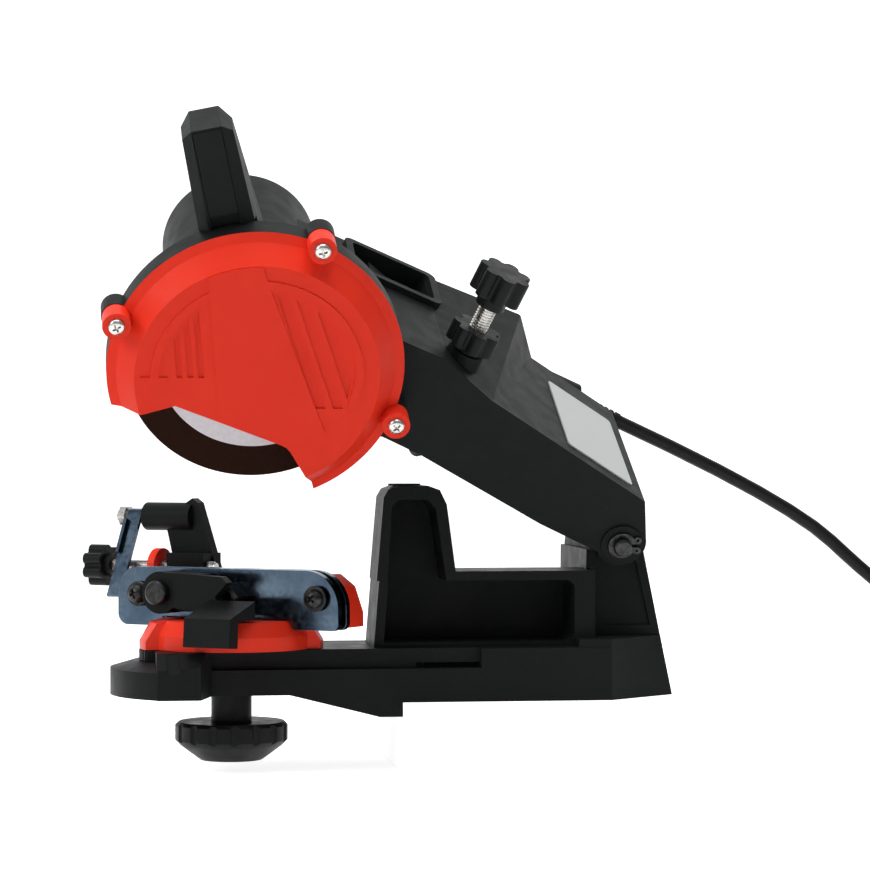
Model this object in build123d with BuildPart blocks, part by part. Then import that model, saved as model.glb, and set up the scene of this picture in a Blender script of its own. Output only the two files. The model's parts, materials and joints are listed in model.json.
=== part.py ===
# Bench-mounted electric chainsaw sharpener, in millimetres.
# +Z is up, the bench plane is z = 0 and the origin is the middle of the bench face.
# X runs from the chain vise to the hinge, Y away from the operator.
# The wheel, its motor and the hinge pin share one direction, which leans back by `tilt`.
import os
from math import cos, pi, radians, sin, tan

from build123d import *

os.makedirs("parts", exist_ok=True)

# ---- main places ----
tilt = 27.0
wheel_x, wheel_y, wheel_z = -126.0, -75.0, 145.5
pin_right, pin_drop = 162.3, 89.6  # hinge pin from the wheel centre, in the head plane
table_x, table_y = -132.8, -30.0
fit = 0.05  # radial clearance of running fits
seat_gap = 0.1  # between pieces that turn or slide on a face

# ---- grinding wheel and spindle ----
wheel_radius, wheel_thick, wheel_bore = 54.0, 3.2, 11.1
paper_radius, paper_thick = 40.0, 0.4
flange_radius, outer_flange, inner_flange = 16.0, 4.0, 3.4
nut_width, nut_thick = 13.0, 6.5
spindle_radius, spindle_nose = 4.0, 14.5
rotor_radius, rotor_length, stator_length = 19.5, 45.0, 50.0
bearing_radius, bearing_width = 11.0, 7.0

# ---- guard ----
wheel_gap, guard_wall = 4.8, 2.5
guard_radius = wheel_radius + wheel_gap + guard_wall
guard_seam, guard_back = 10.8, -6.0
guard_shoulder, guard_cone = 4.0, 7.1
cone_radius, cone_start = guard_radius - guard_shoulder, 12.2
face_radius, guard_face = cone_radius - guard_cone, 20.0
lug_out, lug_radius = 0.7, 5.8
lug_circle = guard_radius + lug_out
lug_angles = (158.0, 66.8, -20.3)
lug_back = 0.8
screw_radius, screw_head, screw_head_thick, screw_head_edge = 1.9, 3.5, 2.2, 1.0
relief_high, relief_deep = 0.6, 0.8
field_radius, ring_low, ring_high = 38.3, 40.2, 43.8
band = [
    (-24.0, 56.0),
    (-21.4, 44.1),
    (-15.5, -14.0),
    (12.5, -31.2),
    (28.4, -24.0),
    (2.5, 44.3),
    (-1.5, 56.0),
]
right_slot_lean, right_slot_width, right_slot_low = -70.9, 3.8, -13.5
right_slots = (20.5, 27.3, 34.0)
left_slot_lean, left_slot_width, left_slot_low = -84.3, 2.4, 0.5
left_slots = (-31.5, -27.1, -22.7)

# ---- motor housing ----
motor_radius, motor_wall, motor_back, motor_round = 34.0, 2.5, 125.0, 8.0
stator_fit = 0.2
stator_radius = motor_radius - motor_wall - stator_fit

# ---- grip ----
grip_angle, grip_top, grip_foot = 102.5, 104.5, 30.0
grip_front, grip_back = 3.0, -20.0
grip_width_top, grip_width_foot, grip_bevel, grip_flare = 20.6, 25.0, 4.2, 4.0
panel_width, panel_thick, panel_gap, panel_rim = 12.0, 2.5, 0.1, 0.8

# ---- arm ----
arm_near, arm_far, arm_wall = 2.0, 89.0, 3.0
arm_end_radius, arm_boss_radius, arm_boss_height = 11.0, 9.0, 1.2
pocket_lip, pocket_lip_high = 3.5, 2.6
cover_thick = 2.5

# ---- hinge ----
pin_radius, pin_nose, pin_tail = 4.0, 3.4, 94.0
clip_radius, clip_thick, clip_groove, clip_gap = 6.0, 1.0, 0.6, 0.2
clip_ear, clip_ear_x, clip_ear_y = 1.7, 6.7, 2.5
knuckle_radius = 8.2
hinge_front, hinge_back = 6.0, 84.0

# ---- depth stop ----
stop_depth = 18.0
stop_foot_x, stop_foot_y = 71.4, -54.1
stop_lean = 21.8
stop_radius, stop_length = 4.0, 92.0
stop_boss_radius = 8.0
stop_foot_radius, stop_foot_long, stop_foot_edge = 3.2, 5.0, 1.2
lock_start, lock_thick, lock_radius = 53.5, 11.0, 11.0
knob_start, knob_thick, knob_radius = 75.5, 17.0, 11.7

# ---- switch ----
pocket_x, pocket_depth_mid, pocket_length, pocket_width, pocket_deep = 63.5, 71.0, 38.0, 25.0, 7.0
switch_length, switch_width, switch_body = 27.0, 20.0, 12.0
rocker_length, rocker_width, rocker_rise, rocker_play = 19.6, 13.0, 0.5, 0.8
trunnion_radius, trunnion_reach = 1.0, 1.3

# ---- label ----
label_length, label_width, label_thick, label_x, label_mid = 36.0, 62.0, 0.6, 151.5, 41.0

# ---- base ----
deck = 22.6
foot_left, foot_right, foot_front, foot_back = -60.0, 60.5, -50.0, 50.0
corner_x, corner_y = 28.9, -24.0
beam_left, beam_back, beam_under = -142.2, 10.0, 3.5
lip_left, lip_right, lip_drop, slope_left = -71.0, -61.2, 6.1, -109.3
recess_bottom, recess_deep, recess_right = 14.3, 5.0, -27.5
foot_wall, foot_roof, rib_thick = 5.0, 6.0, 3.0
plate_radius, plate_rim, plate_shelf = 51.7, 14.9, 17.6
nose_front, nose_left, nose_right, nose_rim = -71.3, -166.0, -148.0, 16.0
hub_radius = 33.0
box_left, box_right, box_front, box_back, box_top = -72.5, 24.0, -37.0, -2.0, 55.0
box_wall, box_draft, box_rim, box_sill, box_corner = 4.0, 2.5, 9.0, 2.0, 4.0
tower_left, tower_right, tower_top, tower_back, tower_wall = -71.0, -36.3, 91.8, -7.0, 3.6
pad_x, pad_y, pad_radius, pad_high = -58.0, -27.0, 7.0, 0.8
block_left, block_front, block_back, block_top, block_lean = 21.5, -23.7, 43.0, 63.7, 0.2025
block_rim, block_corner, block_sunk = 4.5, 6.0, 1.6
pedestal_left, pedestal_top = 12.0, 26.0
bolt_hole, bolt_dx, bolt_dy, bolt_mid_x, bolt_mid_y = 3.3, 56.0, 42.0, -28.0, 1.0

# ---- angle ring and turntable ----
ring_play, ring_width, ring_top, ring_teeth = 0.3, 6.1, 22.4, 72
ring_inner = hub_radius + ring_play
ring_radius = ring_inner + ring_width
turn_radius, turn_top, lug_reach, lug_edge, lug_width = 34.0, 35.0, 39.3, 26.2, 26.0
vise_turn = -35.0

# ---- chain vise ----
jaw_left, jaw_right, jaw_bottom, jaw_top = -54.5, 55.3, 31.4, 56.6
jaw_thick, jaw_gap, jaw_round, jaw_corner = 3.4, 3.6, 16.0, 5.0
notch_left, notch_right, notch_top = -31.5, 31.5, 35.6
wall_thick, wall_left, wall_top = 11.5, -48.0, 54.4
jaw_bolt_left, jaw_bolt_right, jaw_bolt_z = -43.0, 45.2, 44.9
jaw_bolt_radius, jaw_bolt_head, jaw_bolt_socket, washer_radius, washer_thick = 2.5, 4.2, 2.1, 5.4, 1.0
jaw_travel = 1.2
stud_x, stud_z, stud_radius, stud_cap = -23.0, 46.5, 3.0, 5.2
lever_back, lever_plate, lever_face, lever_reach = 1.4, 16.2, 21.0, 42.0
guide_x, guide_z, guide_half, guide_long = 6.5, 45.2, 5.7, 9.2

# ---- chain stop ----
screw_y, screw_z, adjust_radius = 18.5, 55.8, 2.5
ear_left, ear_right, ear_radius = -50.0, -46.4, 8.0
groove_right, groove_bottom = -6.0, 49.5
bracket_y, bracket_thick, bracket_left, bracket_right = 24.0, 5.0, -44.0, -21.0
boss_left, boss_right, boss_z, boss_radius = -58.0, -33.5, 77.6, 6.2
pawl_pin_radius, pawl_pin_left, sleeve_radius = 2.5, -73.0, 3.4
pawl_left, pawl_width, pawl_thick, pawl_length, pawl_lean = -66.6, 7.0, 1.5, 40.0, 25.5
pawl_flange, pawl_flange_long = 2.0, 16.0
adjust_knob_radius, adjust_knob_left, adjust_knob_thick = 9.3, -83.5, 9.0

# ---- table lock knob ----
table_bolt_radius, table_bolt_top = 4.0, 32.0
stem_radius = 8.7
hand_radius, hand_top, hand_side, hand_bottom = 24.1, -8.7, -19.0, -25.1

# ---- cord ----
cord_radius = 3.1
gland_radius, gland_start, gland_end = 8.0, 135.0, 149.0
boot_length, boot_large, boot_small = 24.0, 5.4, 3.7
cord_route = [
    (49.0, 44.6, 120.0),
    (134.7, 63.7, 82.6),
    (178.0, 71.5, 44.0),
    (203.0, 72.4, 28.5),
    (225.0, 71.2, 22.0),
    (241.5, 71.2, 22.0),
]
coil_x, coil_y, coil_inner, coil_outer, coil_high, coil_skin = 265.5, 30.0, 25.7, 44.6, 25.4, 0.3
coil_lead, plug_angle = 30.0, -60.0
plug_sleeve, plug_body, plug_width, plug_thick, pin_long, pin_pitch = 22.0, 34.0, 33.0, 17.0, 19.0, 19.0

# ---- planes and directions ----
lean = radians(tilt)
head = Plane(
    origin=(wheel_x, wheel_y, wheel_z), x_dir=(1, 0, 0), z_dir=(0, -cos(lean), -sin(lean))
)
spindle = Axis(head.origin, head.z_dir)
section = Plane(origin=head.origin, x_dir=head.x_dir, z_dir=-head.y_dir)  # radius, depth
vise = Plane(
    origin=(table_x, table_y, 0),
    x_dir=(cos(radians(vise_turn)), sin(radians(vise_turn)), 0),
    z_dir=(0, 0, 1),
)
front_jaw_plane = Plane(origin=vise.origin, x_dir=vise.x_dir, z_dir=-vise.y_dir)


def head_point(x, y, z):
    """A point of the head plane: right, up and towards the operator, in world places."""
    return head.from_local_coords(Vector(x, y, z))


def vise_point(x, y, z):
    """A point of the vise: along the jaws, back from the slot and up, in world places."""
    return vise.from_local_coords(Vector(x, y, z))


# =====================================================================
# Grinding wheel and everything on the spindle
# =====================================================================
wheel_front = wheel_thick / 2
paper_front = wheel_front + paper_thick
flange_front = paper_front + outer_flange
flange_back = -paper_front - inner_flange

with BuildPart() as grinding_wheel:
    with BuildSketch(head.offset(-wheel_front)):
        Circle(wheel_radius)
        Circle(wheel_bore, mode=Mode.SUBTRACT)
    extrude(amount=wheel_thick)
grinding_wheel.part.label = "grinding_wheel"
export_step(grinding_wheel.part, "parts/grinding_wheel.step")

for name, start in (("paper_front", wheel_front), ("paper_back", -paper_front)):
    with BuildPart() as paper:
        with BuildSketch(head.offset(start)):
            Circle(paper_radius)
            Circle(wheel_bore, mode=Mode.SUBTRACT)
        extrude(amount=paper_thick)
    paper.part.label = name
    export_step(paper.part, f"parts/{name}.step")

# The inner flange carries the wheel on a spigot and stands on a shoulder of the spindle.
with BuildPart() as flange_inner:
    with BuildSketch(head.offset(flange_back)):
        Circle(flange_radius)
    extrude(amount=inner_flange)
    with BuildSketch(head.offset(-paper_front)):
        Circle(wheel_bore - fit)
    extrude(amount=wheel_thick + paper_thick)
    with BuildSketch(head.offset(flange_back)):
        Circle(spindle_radius + fit)
    extrude(amount=inner_flange + wheel_thick + 2 * paper_thick, mode=Mode.SUBTRACT)
flange_inner.part.label = "flange_inner"
export_step(flange_inner.part, "parts/flange_inner.step")

with BuildPart() as flange_outer:
    with BuildSketch(head.offset(paper_front)):
        Circle(flange_radius)
        Circle(spindle_radius + fit, mode=Mode.SUBTRACT)
    extrude(amount=outer_flange)
    chamfer(flange_outer.faces().sort_by(spindle)[-1].outer_wire().edges(), 1.2)
flange_outer.part.label = "flange_outer"
export_step(flange_outer.part, "parts/flange_outer.step")

with BuildPart() as wheel_nut:
    with BuildSketch(head.offset(flange_front)):
        RegularPolygon(nut_width / 2, 6, major_radius=False)
        Circle(spindle_radius + fit, mode=Mode.SUBTRACT)
    extrude(amount=nut_thick)
wheel_nut.part.label = "wheel_nut"
export_step(wheel_nut.part, "parts/wheel_nut.step")

# Motor lengthways, as depths towards the operator: bearings, rotor and the closed back.
motor_front = guard_back - seat_gap
front_bearing = motor_front - motor_wall - 4.0
back_bearing = -motor_back + motor_wall + 2.0
rotor_middle = (front_bearing + back_bearing - bearing_width) / 2

with BuildPart() as rotor:
    with BuildSketch(section):
        with BuildLine():
            Polyline(
                (0, spindle_nose),
                (spindle_radius, spindle_nose),
                (spindle_radius, flange_back),
                (spindle_radius + 2, flange_back),
                (spindle_radius + 2, front_bearing),
                (spindle_radius, front_bearing),
                (spindle_radius, front_bearing - bearing_width),
                (spindle_radius + 2, front_bearing - bearing_width),
                (spindle_radius + 2, rotor_middle + rotor_length / 2),
                (rotor_radius, rotor_middle + rotor_length / 2),
                (rotor_radius, rotor_middle - rotor_length / 2),
                (spindle_radius + 2, rotor_middle - rotor_length / 2),
                (spindle_radius + 2, back_bearing + bearing_width),
                (spindle_radius, back_bearing + bearing_width),
                (spindle_radius, back_bearing),
                (0, back_bearing),
                close=True,
            )
        make_face()
    revolve(axis=spindle)
rotor.part.label = "rotor"
export_step(rotor.part, "parts/rotor.step")

for name, start in (
    ("bearing_front", front_bearing - bearing_width),
    ("bearing_back", back_bearing),
):
    with BuildPart() as bearing:
        with BuildSketch(head.offset(start)):
            Circle(bearing_radius)
            Circle(spindle_radius + fit, mode=Mode.SUBTRACT)
        extrude(amount=bearing_width)
    bearing.part.label = name
    export_step(bearing.part, f"parts/{name}.step")

with BuildPart() as stator:
    with BuildSketch(head.offset(rotor_middle - stator_length / 2)):
        Circle(stator_radius)
        Circle(rotor_radius + 0.6, mode=Mode.SUBTRACT)
    extrude(amount=stator_length)
stator.part.label = "stator"
export_step(stator.part, "parts/stator.step")

# =====================================================================
# Head: wheel housing, guard, motor housing and grip
# =====================================================================
lugs = [
    (lug_circle * cos(radians(a)), lug_circle * sin(radians(a))) for a in lug_angles
]

# The open part of the guard, where the wheel reaches the chain, in shares of the guard's radius.
gap_outline = [
    (-1.25, -0.261),
    (-0.767, -0.269),
    (-0.543, -0.202),
    (0.204, -0.509),
    (0.238, -0.548),
    (0.401, -0.832),
    (0.498, -1.22),
    (-1.25, -1.22),
]
with BuildSketch(head) as guard_gap:
    with BuildLine():
        Polyline(*[(x * guard_radius, y * guard_radius) for x, y in gap_outline], close=True)
    make_face()

with BuildPart() as wheel_housing:
    with BuildSketch(section):
        with BuildLine():
            Polyline(
                (flange_radius + 3, guard_back),
                (guard_radius - 5.5, guard_back),
                (guard_radius, guard_back + 5.5),
                (guard_radius, guard_seam),
                (guard_radius - guard_wall, guard_seam),
                (guard_radius - guard_wall, guard_back + 6.5),
                (guard_radius - 6.5, guard_back + guard_wall),
                (flange_radius + 3, guard_back + guard_wall),
                close=True,
            )
        make_face()
    revolve(axis=spindle)
    with BuildSketch(head.offset(lug_back)):
        with Locations(*lugs):
            Circle(lug_radius + 0.3)
    extrude(amount=guard_seam - lug_back)
    with BuildSketch(head.offset(lug_back)):
        Circle(guard_radius - guard_wall)
    extrude(amount=guard_seam, mode=Mode.SUBTRACT)
    with BuildSketch(head.offset(lug_back + 1.5)):
        with Locations(*lugs):
            Circle(screw_radius + fit)
    extrude(amount=guard_seam, mode=Mode.SUBTRACT)
    add(extrude(guard_gap.sketch, amount=40, both=True, mode=Mode.PRIVATE), mode=Mode.SUBTRACT)
wheel_housing.part.label = "wheel_housing"
export_step(wheel_housing.part, "parts/wheel_housing.step")

with BuildPart() as wheel_guard:
    with BuildSketch(section):
        with BuildLine():
            Polyline(
                (0, guard_seam),
                (guard_radius, guard_seam),
                (cone_radius, cone_start),
                (face_radius, guard_face),
                (0, guard_face),
                close=True,
            )
        make_face()
    revolve(axis=spindle)
    with BuildSketch(head.offset(guard_seam)):
        with Locations(*lugs):
            Circle(lug_radius)
    extrude(amount=guard_face - guard_seam)
    # Raised band, and the ring on both sides of it that ends in the arrow of the wheel's turning.
    with BuildSketch(head.offset(guard_face - relief_deep)):
        with BuildLine():
            Polyline(*band, close=True)
        make_face()
        Circle(face_radius - relief_high, mode=Mode.INTERSECT)
    extrude(amount=relief_deep + relief_high)
    with BuildSketch(head.offset(guard_face - relief_deep)):
        Circle(ring_high)
        Circle(ring_low, mode=Mode.SUBTRACT)
        with Locations((0, ring_high / 2)):
            Rectangle(2 * ring_high, ring_high, mode=Mode.INTERSECT)
        with BuildLine():
            Polyline((-48.0, 0.8), (-36.5, 0.8), (-41.6, -8.2), close=True)
        make_face()
        with BuildLine():
            Polyline((ring_low, 1), (ring_high, 1), (ring_low, -14.0), (ring_low - 3, -14.0), close=True)
        make_face()
    extrude(amount=relief_deep + relief_high)
    with BuildSketch(section):
        with BuildLine():
            Polyline(
                (0, guard_seam),
                (guard_radius - guard_wall, guard_seam),
                (cone_radius - guard_wall, cone_start),
                (face_radius - guard_wall, guard_face - guard_wall),
                (0, guard_face - guard_wall),
                close=True,
            )
        make_face()
    revolve(axis=spindle, mode=Mode.SUBTRACT)
    with BuildSketch(head.offset(guard_seam)):
        with Locations(*lugs):
            Circle(screw_radius + 0.2)
    extrude(amount=guard_face, mode=Mode.SUBTRACT)
    # Sunk slots in the fields on both sides of the band.
    for turn, width, places, low in (
        (right_slot_lean, right_slot_width, right_slots, right_slot_low),
        (left_slot_lean, left_slot_width, left_slots, left_slot_low),
    ):
        with BuildSketch(head.offset(guard_face - relief_deep)):
            for place in places:
                with Locations(
                    (place * cos(radians(turn + 90)), place * sin(radians(turn + 90)))
                ):
                    Rectangle(2 * guard_radius, width, rotation=turn)
            Circle(field_radius, mode=Mode.INTERSECT)
            with Locations((0, low + guard_radius)):
                Rectangle(2 * guard_radius, 2 * guard_radius, mode=Mode.INTERSECT)
        extrude(amount=2 * relief_deep, mode=Mode.SUBTRACT)
    add(extrude(guard_gap.sketch, amount=40, both=True, mode=Mode.PRIVATE), mode=Mode.SUBTRACT)
wheel_guard.part.label = "wheel_guard"
export_step(wheel_guard.part, "parts/wheel_guard.step")

for number, (x, y) in enumerate(lugs, 1):
    with BuildPart() as guard_screw:
        with BuildSketch(head.offset(guard_face)):
            with Locations((x, y)):
                Circle(screw_head)
        extrude(amount=screw_head_thick)
        chamfer(guard_screw.faces().sort_by(spindle)[-1].edges(), screw_head_edge)
        with BuildSketch(head.offset(lug_back + 1.6)):
            with Locations((x, y)):
                Circle(screw_radius)
        extrude(amount=guard_face - lug_back - 1.6)
    guard_screw.part.label = f"guard_screw_{number}"
    export_step(guard_screw.part, f"parts/guard_screw_{number}.step")

# The motor housing is one can with a bearing seat at each end.
with BuildPart() as motor_housing:
    with BuildSketch(section):
        with BuildLine():
            Polyline(
                (spindle_radius + 4, motor_front),
                (motor_radius, motor_front),
                (motor_radius, -motor_back + motor_round),
                (motor_radius - 0.3 * motor_round, -motor_back + 0.3 * motor_round),
                (motor_radius - motor_round, -motor_back),
                (0, -motor_back),
                (0, -motor_back + motor_wall),
                (bearing_radius + fit, -motor_back + motor_wall),
                (bearing_radius + fit, back_bearing + bearing_width),
                (bearing_radius + 3, back_bearing + bearing_width),
                (bearing_radius + 3, -motor_back + motor_wall),
                (motor_radius - motor_round, -motor_back + motor_wall),
                (motor_radius - motor_wall, -motor_back + motor_round),
                (motor_radius - motor_wall, motor_front - motor_wall),
                (bearing_radius + 3, motor_front - motor_wall),
                (bearing_radius + 3, front_bearing - bearing_width),
                (bearing_radius + fit, front_bearing - bearing_width),
                (bearing_radius + fit, front_bearing),
                (spindle_radius + 4, front_bearing),
                close=True,
            )
        make_face()
    revolve(axis=spindle)
    with BuildSketch(head.offset(-motor_back - 1)):
        with PolarLocations(bearing_radius + 8, 12):
            Rectangle(8, 2.4)
    extrude(amount=motor_wall + 2, mode=Mode.SUBTRACT)
motor_housing.part.label = "motor_housing"
export_step(motor_housing.part, "parts/motor_housing.step")

# The grip stands on the wheel housing and reaches back to the motor housing.
grip_axis = Plane(
    origin=head.origin,
    x_dir=head.from_local_coords(Vector(sin(radians(grip_angle)), -cos(radians(grip_angle)), 0))
    - head.origin,
    z_dir=head.from_local_coords(Vector(cos(radians(grip_angle)), sin(radians(grip_angle)), 0))
    - head.origin,
)  # across, towards the back, out along the grip
grip_side = Plane(origin=head.origin, x_dir=grip_axis.x_dir, z_dir=-grip_axis.y_dir)
grip_depth = grip_front - grip_back

with BuildPart() as grip_shell:
    for height, half, flare in (
        (grip_foot, grip_width_foot / 2, grip_flare),
        (grip_top, grip_width_top / 2, 0),
    ):
        with BuildSketch(grip_axis.offset(height)):
            with BuildLine():
                Polyline(
                    (grip_bevel - half, -grip_front),
                    (half - grip_bevel, -grip_front),
                    (half, grip_bevel - grip_front),
                    (half + flare, -grip_back - grip_bevel),
                    (half + flare - grip_bevel, -grip_back),
                    (grip_bevel - half, -grip_back),
                    (-half, -grip_back - grip_bevel),
                    (-half, grip_bevel - grip_front),
                    close=True,
                )
            make_face()
    loft(ruled=True)
    # Both sides of the top are sloped like the long edges.
    with BuildSketch(grip_side):
        for side in (-1, 1):
            with BuildLine():
                Polyline(
                    (side * (grip_width_top / 2 - grip_bevel), grip_top),
                    (side * (grip_width_top / 2 + 4), grip_top),
                    (side * (grip_width_top / 2 + 4), grip_top - grip_bevel - 4),
                    close=True,
                )
            make_face()
    extrude(amount=2 * grip_depth, both=True, mode=Mode.SUBTRACT)
    with BuildSketch(head.offset(guard_back - seat_gap)):
        Circle(guard_radius + seat_gap)
    extrude(amount=30, mode=Mode.SUBTRACT)
    with BuildSketch(head.offset(-60)):
        Circle(motor_radius + seat_gap)
    extrude(amount=80, mode=Mode.SUBTRACT)
    with BuildSketch(grip_axis.offset(grip_top - panel_rim)):
        with Locations((0, -grip_front + panel_thick / 2)):
            Rectangle(panel_width + 2 * panel_gap, panel_thick + 2 * panel_gap)
    extrude(amount=-(grip_top - guard_radius), mode=Mode.SUBTRACT)
grip_shell.part.label = "grip_shell"
export_step(grip_shell.part, "parts/grip_shell.step")

with BuildPart() as grip_panel:
    with BuildSketch(grip_axis.offset(grip_top - panel_rim - panel_gap)):
        with Locations((0, -grip_front + panel_thick / 2)):
            Rectangle(panel_width, panel_thick)
    extrude(amount=-(grip_top - guard_radius - 6))
    with BuildSketch(head.offset(guard_back)):
        Circle(guard_radius + 2 * seat_gap)
    extrude(amount=30, mode=Mode.SUBTRACT)
grip_panel.part.label = "grip_panel"
export_step(grip_panel.part, "parts/grip_panel.step")

# =====================================================================
# Arm
# =====================================================================
arm_width = arm_far - arm_near
pin_place = (pin_right, -pin_drop)
stop_axis = Plane(
    origin=head_point(stop_foot_x, stop_foot_y, -stop_depth),
    x_dir=head.z_dir,
    z_dir=head_point(sin(radians(stop_lean)), cos(radians(stop_lean)), 0) - head.origin,
)  # towards the operator, across, up along the depth stop
slope = Vector(1, -0.465).normalized()
switch_plane = Plane(
    origin=head_point(pocket_x, 15 - 0.465 * (pocket_x - 44.7), -pocket_depth_mid),
    x_dir=head_point(slope.X, slope.Y, 0) - head.origin,
    z_dir=head_point(-slope.Y, slope.X, 0) - head.origin,
)  # down the shelf, away, out of the shelf
fall = Vector(70.0, -48.5).normalized()
label_plane = Plane(
    origin=head_point(label_x, -20.7 - 48.5 / 70.0 * (label_x - 101.0), -label_mid),
    x_dir=head_point(fall.X, fall.Y, 0) - head.origin,
    z_dir=head_point(-fall.Y, fall.X, 0) - head.origin,
)  # down the slope, away, out of the slope
cord_start = Vector(*cord_route[0])
cord_way = (Vector(*cord_route[1]) - cord_start).normalized()
gland_reach = (gland_end - gland_start) / (cord_way.X)

with BuildPart() as arm_housing:
    with BuildSketch(head.offset(-arm_near)):
        with BuildLine():
            Polyline(
                (18.0, 27.4),
                (80.3, -1.6),
                (101.0, -20.7),
                (171.0, -69.2),
                (pin_right + arm_end_radius, -pin_drop),
                (pin_right, -pin_drop - 9.0),
                (158.9, -97.4),
                (125.8, -79.9),
                (71.8, -46.3),
                (55.2, -37.7),
                (12.0, -33.0),
                close=True,
            )
        make_face()
        with Locations(pin_place):
            Circle(arm_end_radius)
    extrude(amount=-arm_width)
    # The shelf of the switch ends in a step that runs slanting across the arm.
    with BuildSketch(head.offset(-arm_near)):
        with BuildLine():
            Polyline((78.0, -0.6), (80.3, -1.6), (101.0, -20.7), (88.0, -20.0), close=True)
        make_face()
    with BuildSketch(head.offset(-arm_far)):
        with BuildLine():
            Polyline((80.0, -1.5), (125.2, -22.4), (131.5, -41.8), (100.0, -30.0), close=True)
        make_face()
    loft(ruled=True)
    # Motor, wheel housing and the hollow that is open below.
    with BuildSketch(head.offset(-arm_far - 1)):
        Circle(motor_radius + seat_gap)
    extrude(amount=arm_width + 10, mode=Mode.SUBTRACT)
    with BuildSketch(head.offset(guard_back - seat_gap)):
        Circle(guard_radius + seat_gap)
    extrude(amount=30, mode=Mode.SUBTRACT)
    with BuildSketch(head.offset(-arm_near - arm_wall)):
        with BuildLine():
            Polyline(
                (39.0, 14.0),
                (79.4, -5.0),
                (99.4, -23.6),
                (166.5, -70.2),
                (pin_right + knuckle_radius + 0.8, -pin_drop + 6),
                (pin_right + knuckle_radius + 0.8, -120.0),
                (58.0, -120.0),
                (39.0, -30.0),
                close=True,
            )
        make_face()
    extrude(amount=-(arm_width - 2 * arm_wall), mode=Mode.SUBTRACT)
    # The tail of the arm is open below the pin.
    with BuildSketch(head.offset(-arm_near - arm_wall)):
        with Locations((pin_right + arm_end_radius, -pin_drop - 12)):
            Rectangle(4 * arm_end_radius, 24)
    extrude(amount=-(arm_width - 2 * arm_wall), mode=Mode.SUBTRACT)
    # Guide of the depth stop, through the roof.
    with BuildSketch(stop_axis.offset(14)):
        Circle(stop_boss_radius)
    extrude(amount=lock_start - 14 - seat_gap)
    with BuildSketch(stop_axis):
        Circle(stop_radius + fit)
    extrude(amount=lock_start + 10, mode=Mode.SUBTRACT)
    # Tub of the switch, with a raised lip round it.
    with BuildSketch(switch_plane.offset(-arm_wall)):
        RectangleRounded(pocket_length + 2 * pocket_lip, pocket_width + 2 * pocket_lip, 4)
    extrude(amount=arm_wall + pocket_lip_high)
    with BuildSketch(switch_plane.offset(-pocket_deep - arm_wall)):
        Rectangle(pocket_length + 2 * arm_wall, pocket_width + 2 * arm_wall)
    extrude(amount=pocket_deep + arm_wall - 0.5)
    with BuildSketch(switch_plane.offset(-pocket_deep)):
        RectangleRounded(pocket_length, pocket_width, 2.5)
    extrude(amount=pocket_deep + 12, mode=Mode.SUBTRACT)
    with BuildSketch(switch_plane.offset(-pocket_deep - arm_wall - 1)):
        Rectangle(switch_length - 3.6, switch_width - 3.6)
    extrude(amount=pocket_deep + 2, mode=Mode.SUBTRACT)
    # Gland of the cord on the far side.
    with BuildSketch(
        Plane(
            origin=cord_start - cord_way * (boot_length + 0.1 + gland_reach),
            x_dir=head.z_dir,
            z_dir=cord_way,
        )
    ):
        Circle(gland_radius)
    extrude(amount=gland_reach)
    # Bosses round the hinge pin.
    with BuildSketch(head.offset(-arm_near)):
        with Locations(pin_place):
            Circle(arm_boss_radius)
    extrude(amount=arm_boss_height)
    with BuildSketch(head.offset(-arm_far)):
        with Locations(pin_place):
            Circle(arm_boss_radius)
    extrude(amount=-arm_boss_height)
    with BuildSketch(head.offset(-arm_far - 5)):
        with Locations(pin_place):
            Circle(pin_radius + fit)
    extrude(amount=arm_width + 10, mode=Mode.SUBTRACT)
arm_housing.part.label = "arm_housing"
export_step(arm_housing.part, "parts/arm_housing.step")

with BuildPart() as arm_cover:
    with BuildSketch(head.offset(-arm_near - arm_wall - 0.2)):
        with BuildLine():
            Polyline(
                (72.0, -34.2),
                (126.0, -67.9),
                (140.0, -74.6),
                (140.0, -74.6 + cover_thick),
                (126.0, -67.9 + cover_thick),
                (72.0, -34.2 + cover_thick),
                close=True,
            )
        make_face()
    extrude(amount=-(arm_width - 2 * arm_wall - 0.4))
    with BuildSketch(stop_axis):
        Circle(stop_boss_radius + 0.3)
    extrude(amount=60, mode=Mode.SUBTRACT)
arm_cover.part.label = "arm_cover"
export_step(arm_cover.part, "parts/arm_cover.step")

with BuildPart() as label_plate:
    with BuildSketch(label_plane.offset(0.05)):
        RectangleRounded(label_length, label_width, 2)
    extrude(amount=label_thick)
label_plate.part.label = "label_plate"
export_step(label_plate.part, "parts/label_plate.step")

# The rocker turns about a line across its middle and rests with its upper end raised.
rocker_pivot = switch_plane.offset(-pocket_deep + rocker_rise)
rocker_plane = Plane(
    origin=rocker_pivot.origin, x_dir=rocker_pivot.x_dir, z_dir=-rocker_pivot.y_dir
)

with BuildPart() as switch_frame:
    with BuildSketch(switch_plane.offset(-pocket_deep + seat_gap)):
        RectangleRounded(switch_length, switch_width, 1.5)
    extrude(amount=1.8)
    with BuildSketch(switch_plane.offset(-pocket_deep + seat_gap)):
        Rectangle(switch_length - 4, switch_width - 4)
    extrude(amount=-switch_body)
    with BuildSketch(switch_plane.offset(-pocket_deep - 6)):
        Rectangle(rocker_length + 2 * rocker_play, rocker_width + 2 * rocker_play)
    extrude(amount=20, mode=Mode.SUBTRACT)
    with BuildSketch(rocker_plane):
        Circle(trunnion_radius + fit)
    extrude(amount=rocker_width / 2 + trunnion_reach + seat_gap, both=True, mode=Mode.SUBTRACT)
switch_frame.part.label = "switch_frame"
export_step(switch_frame.part, "parts/switch_frame.step")

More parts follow.
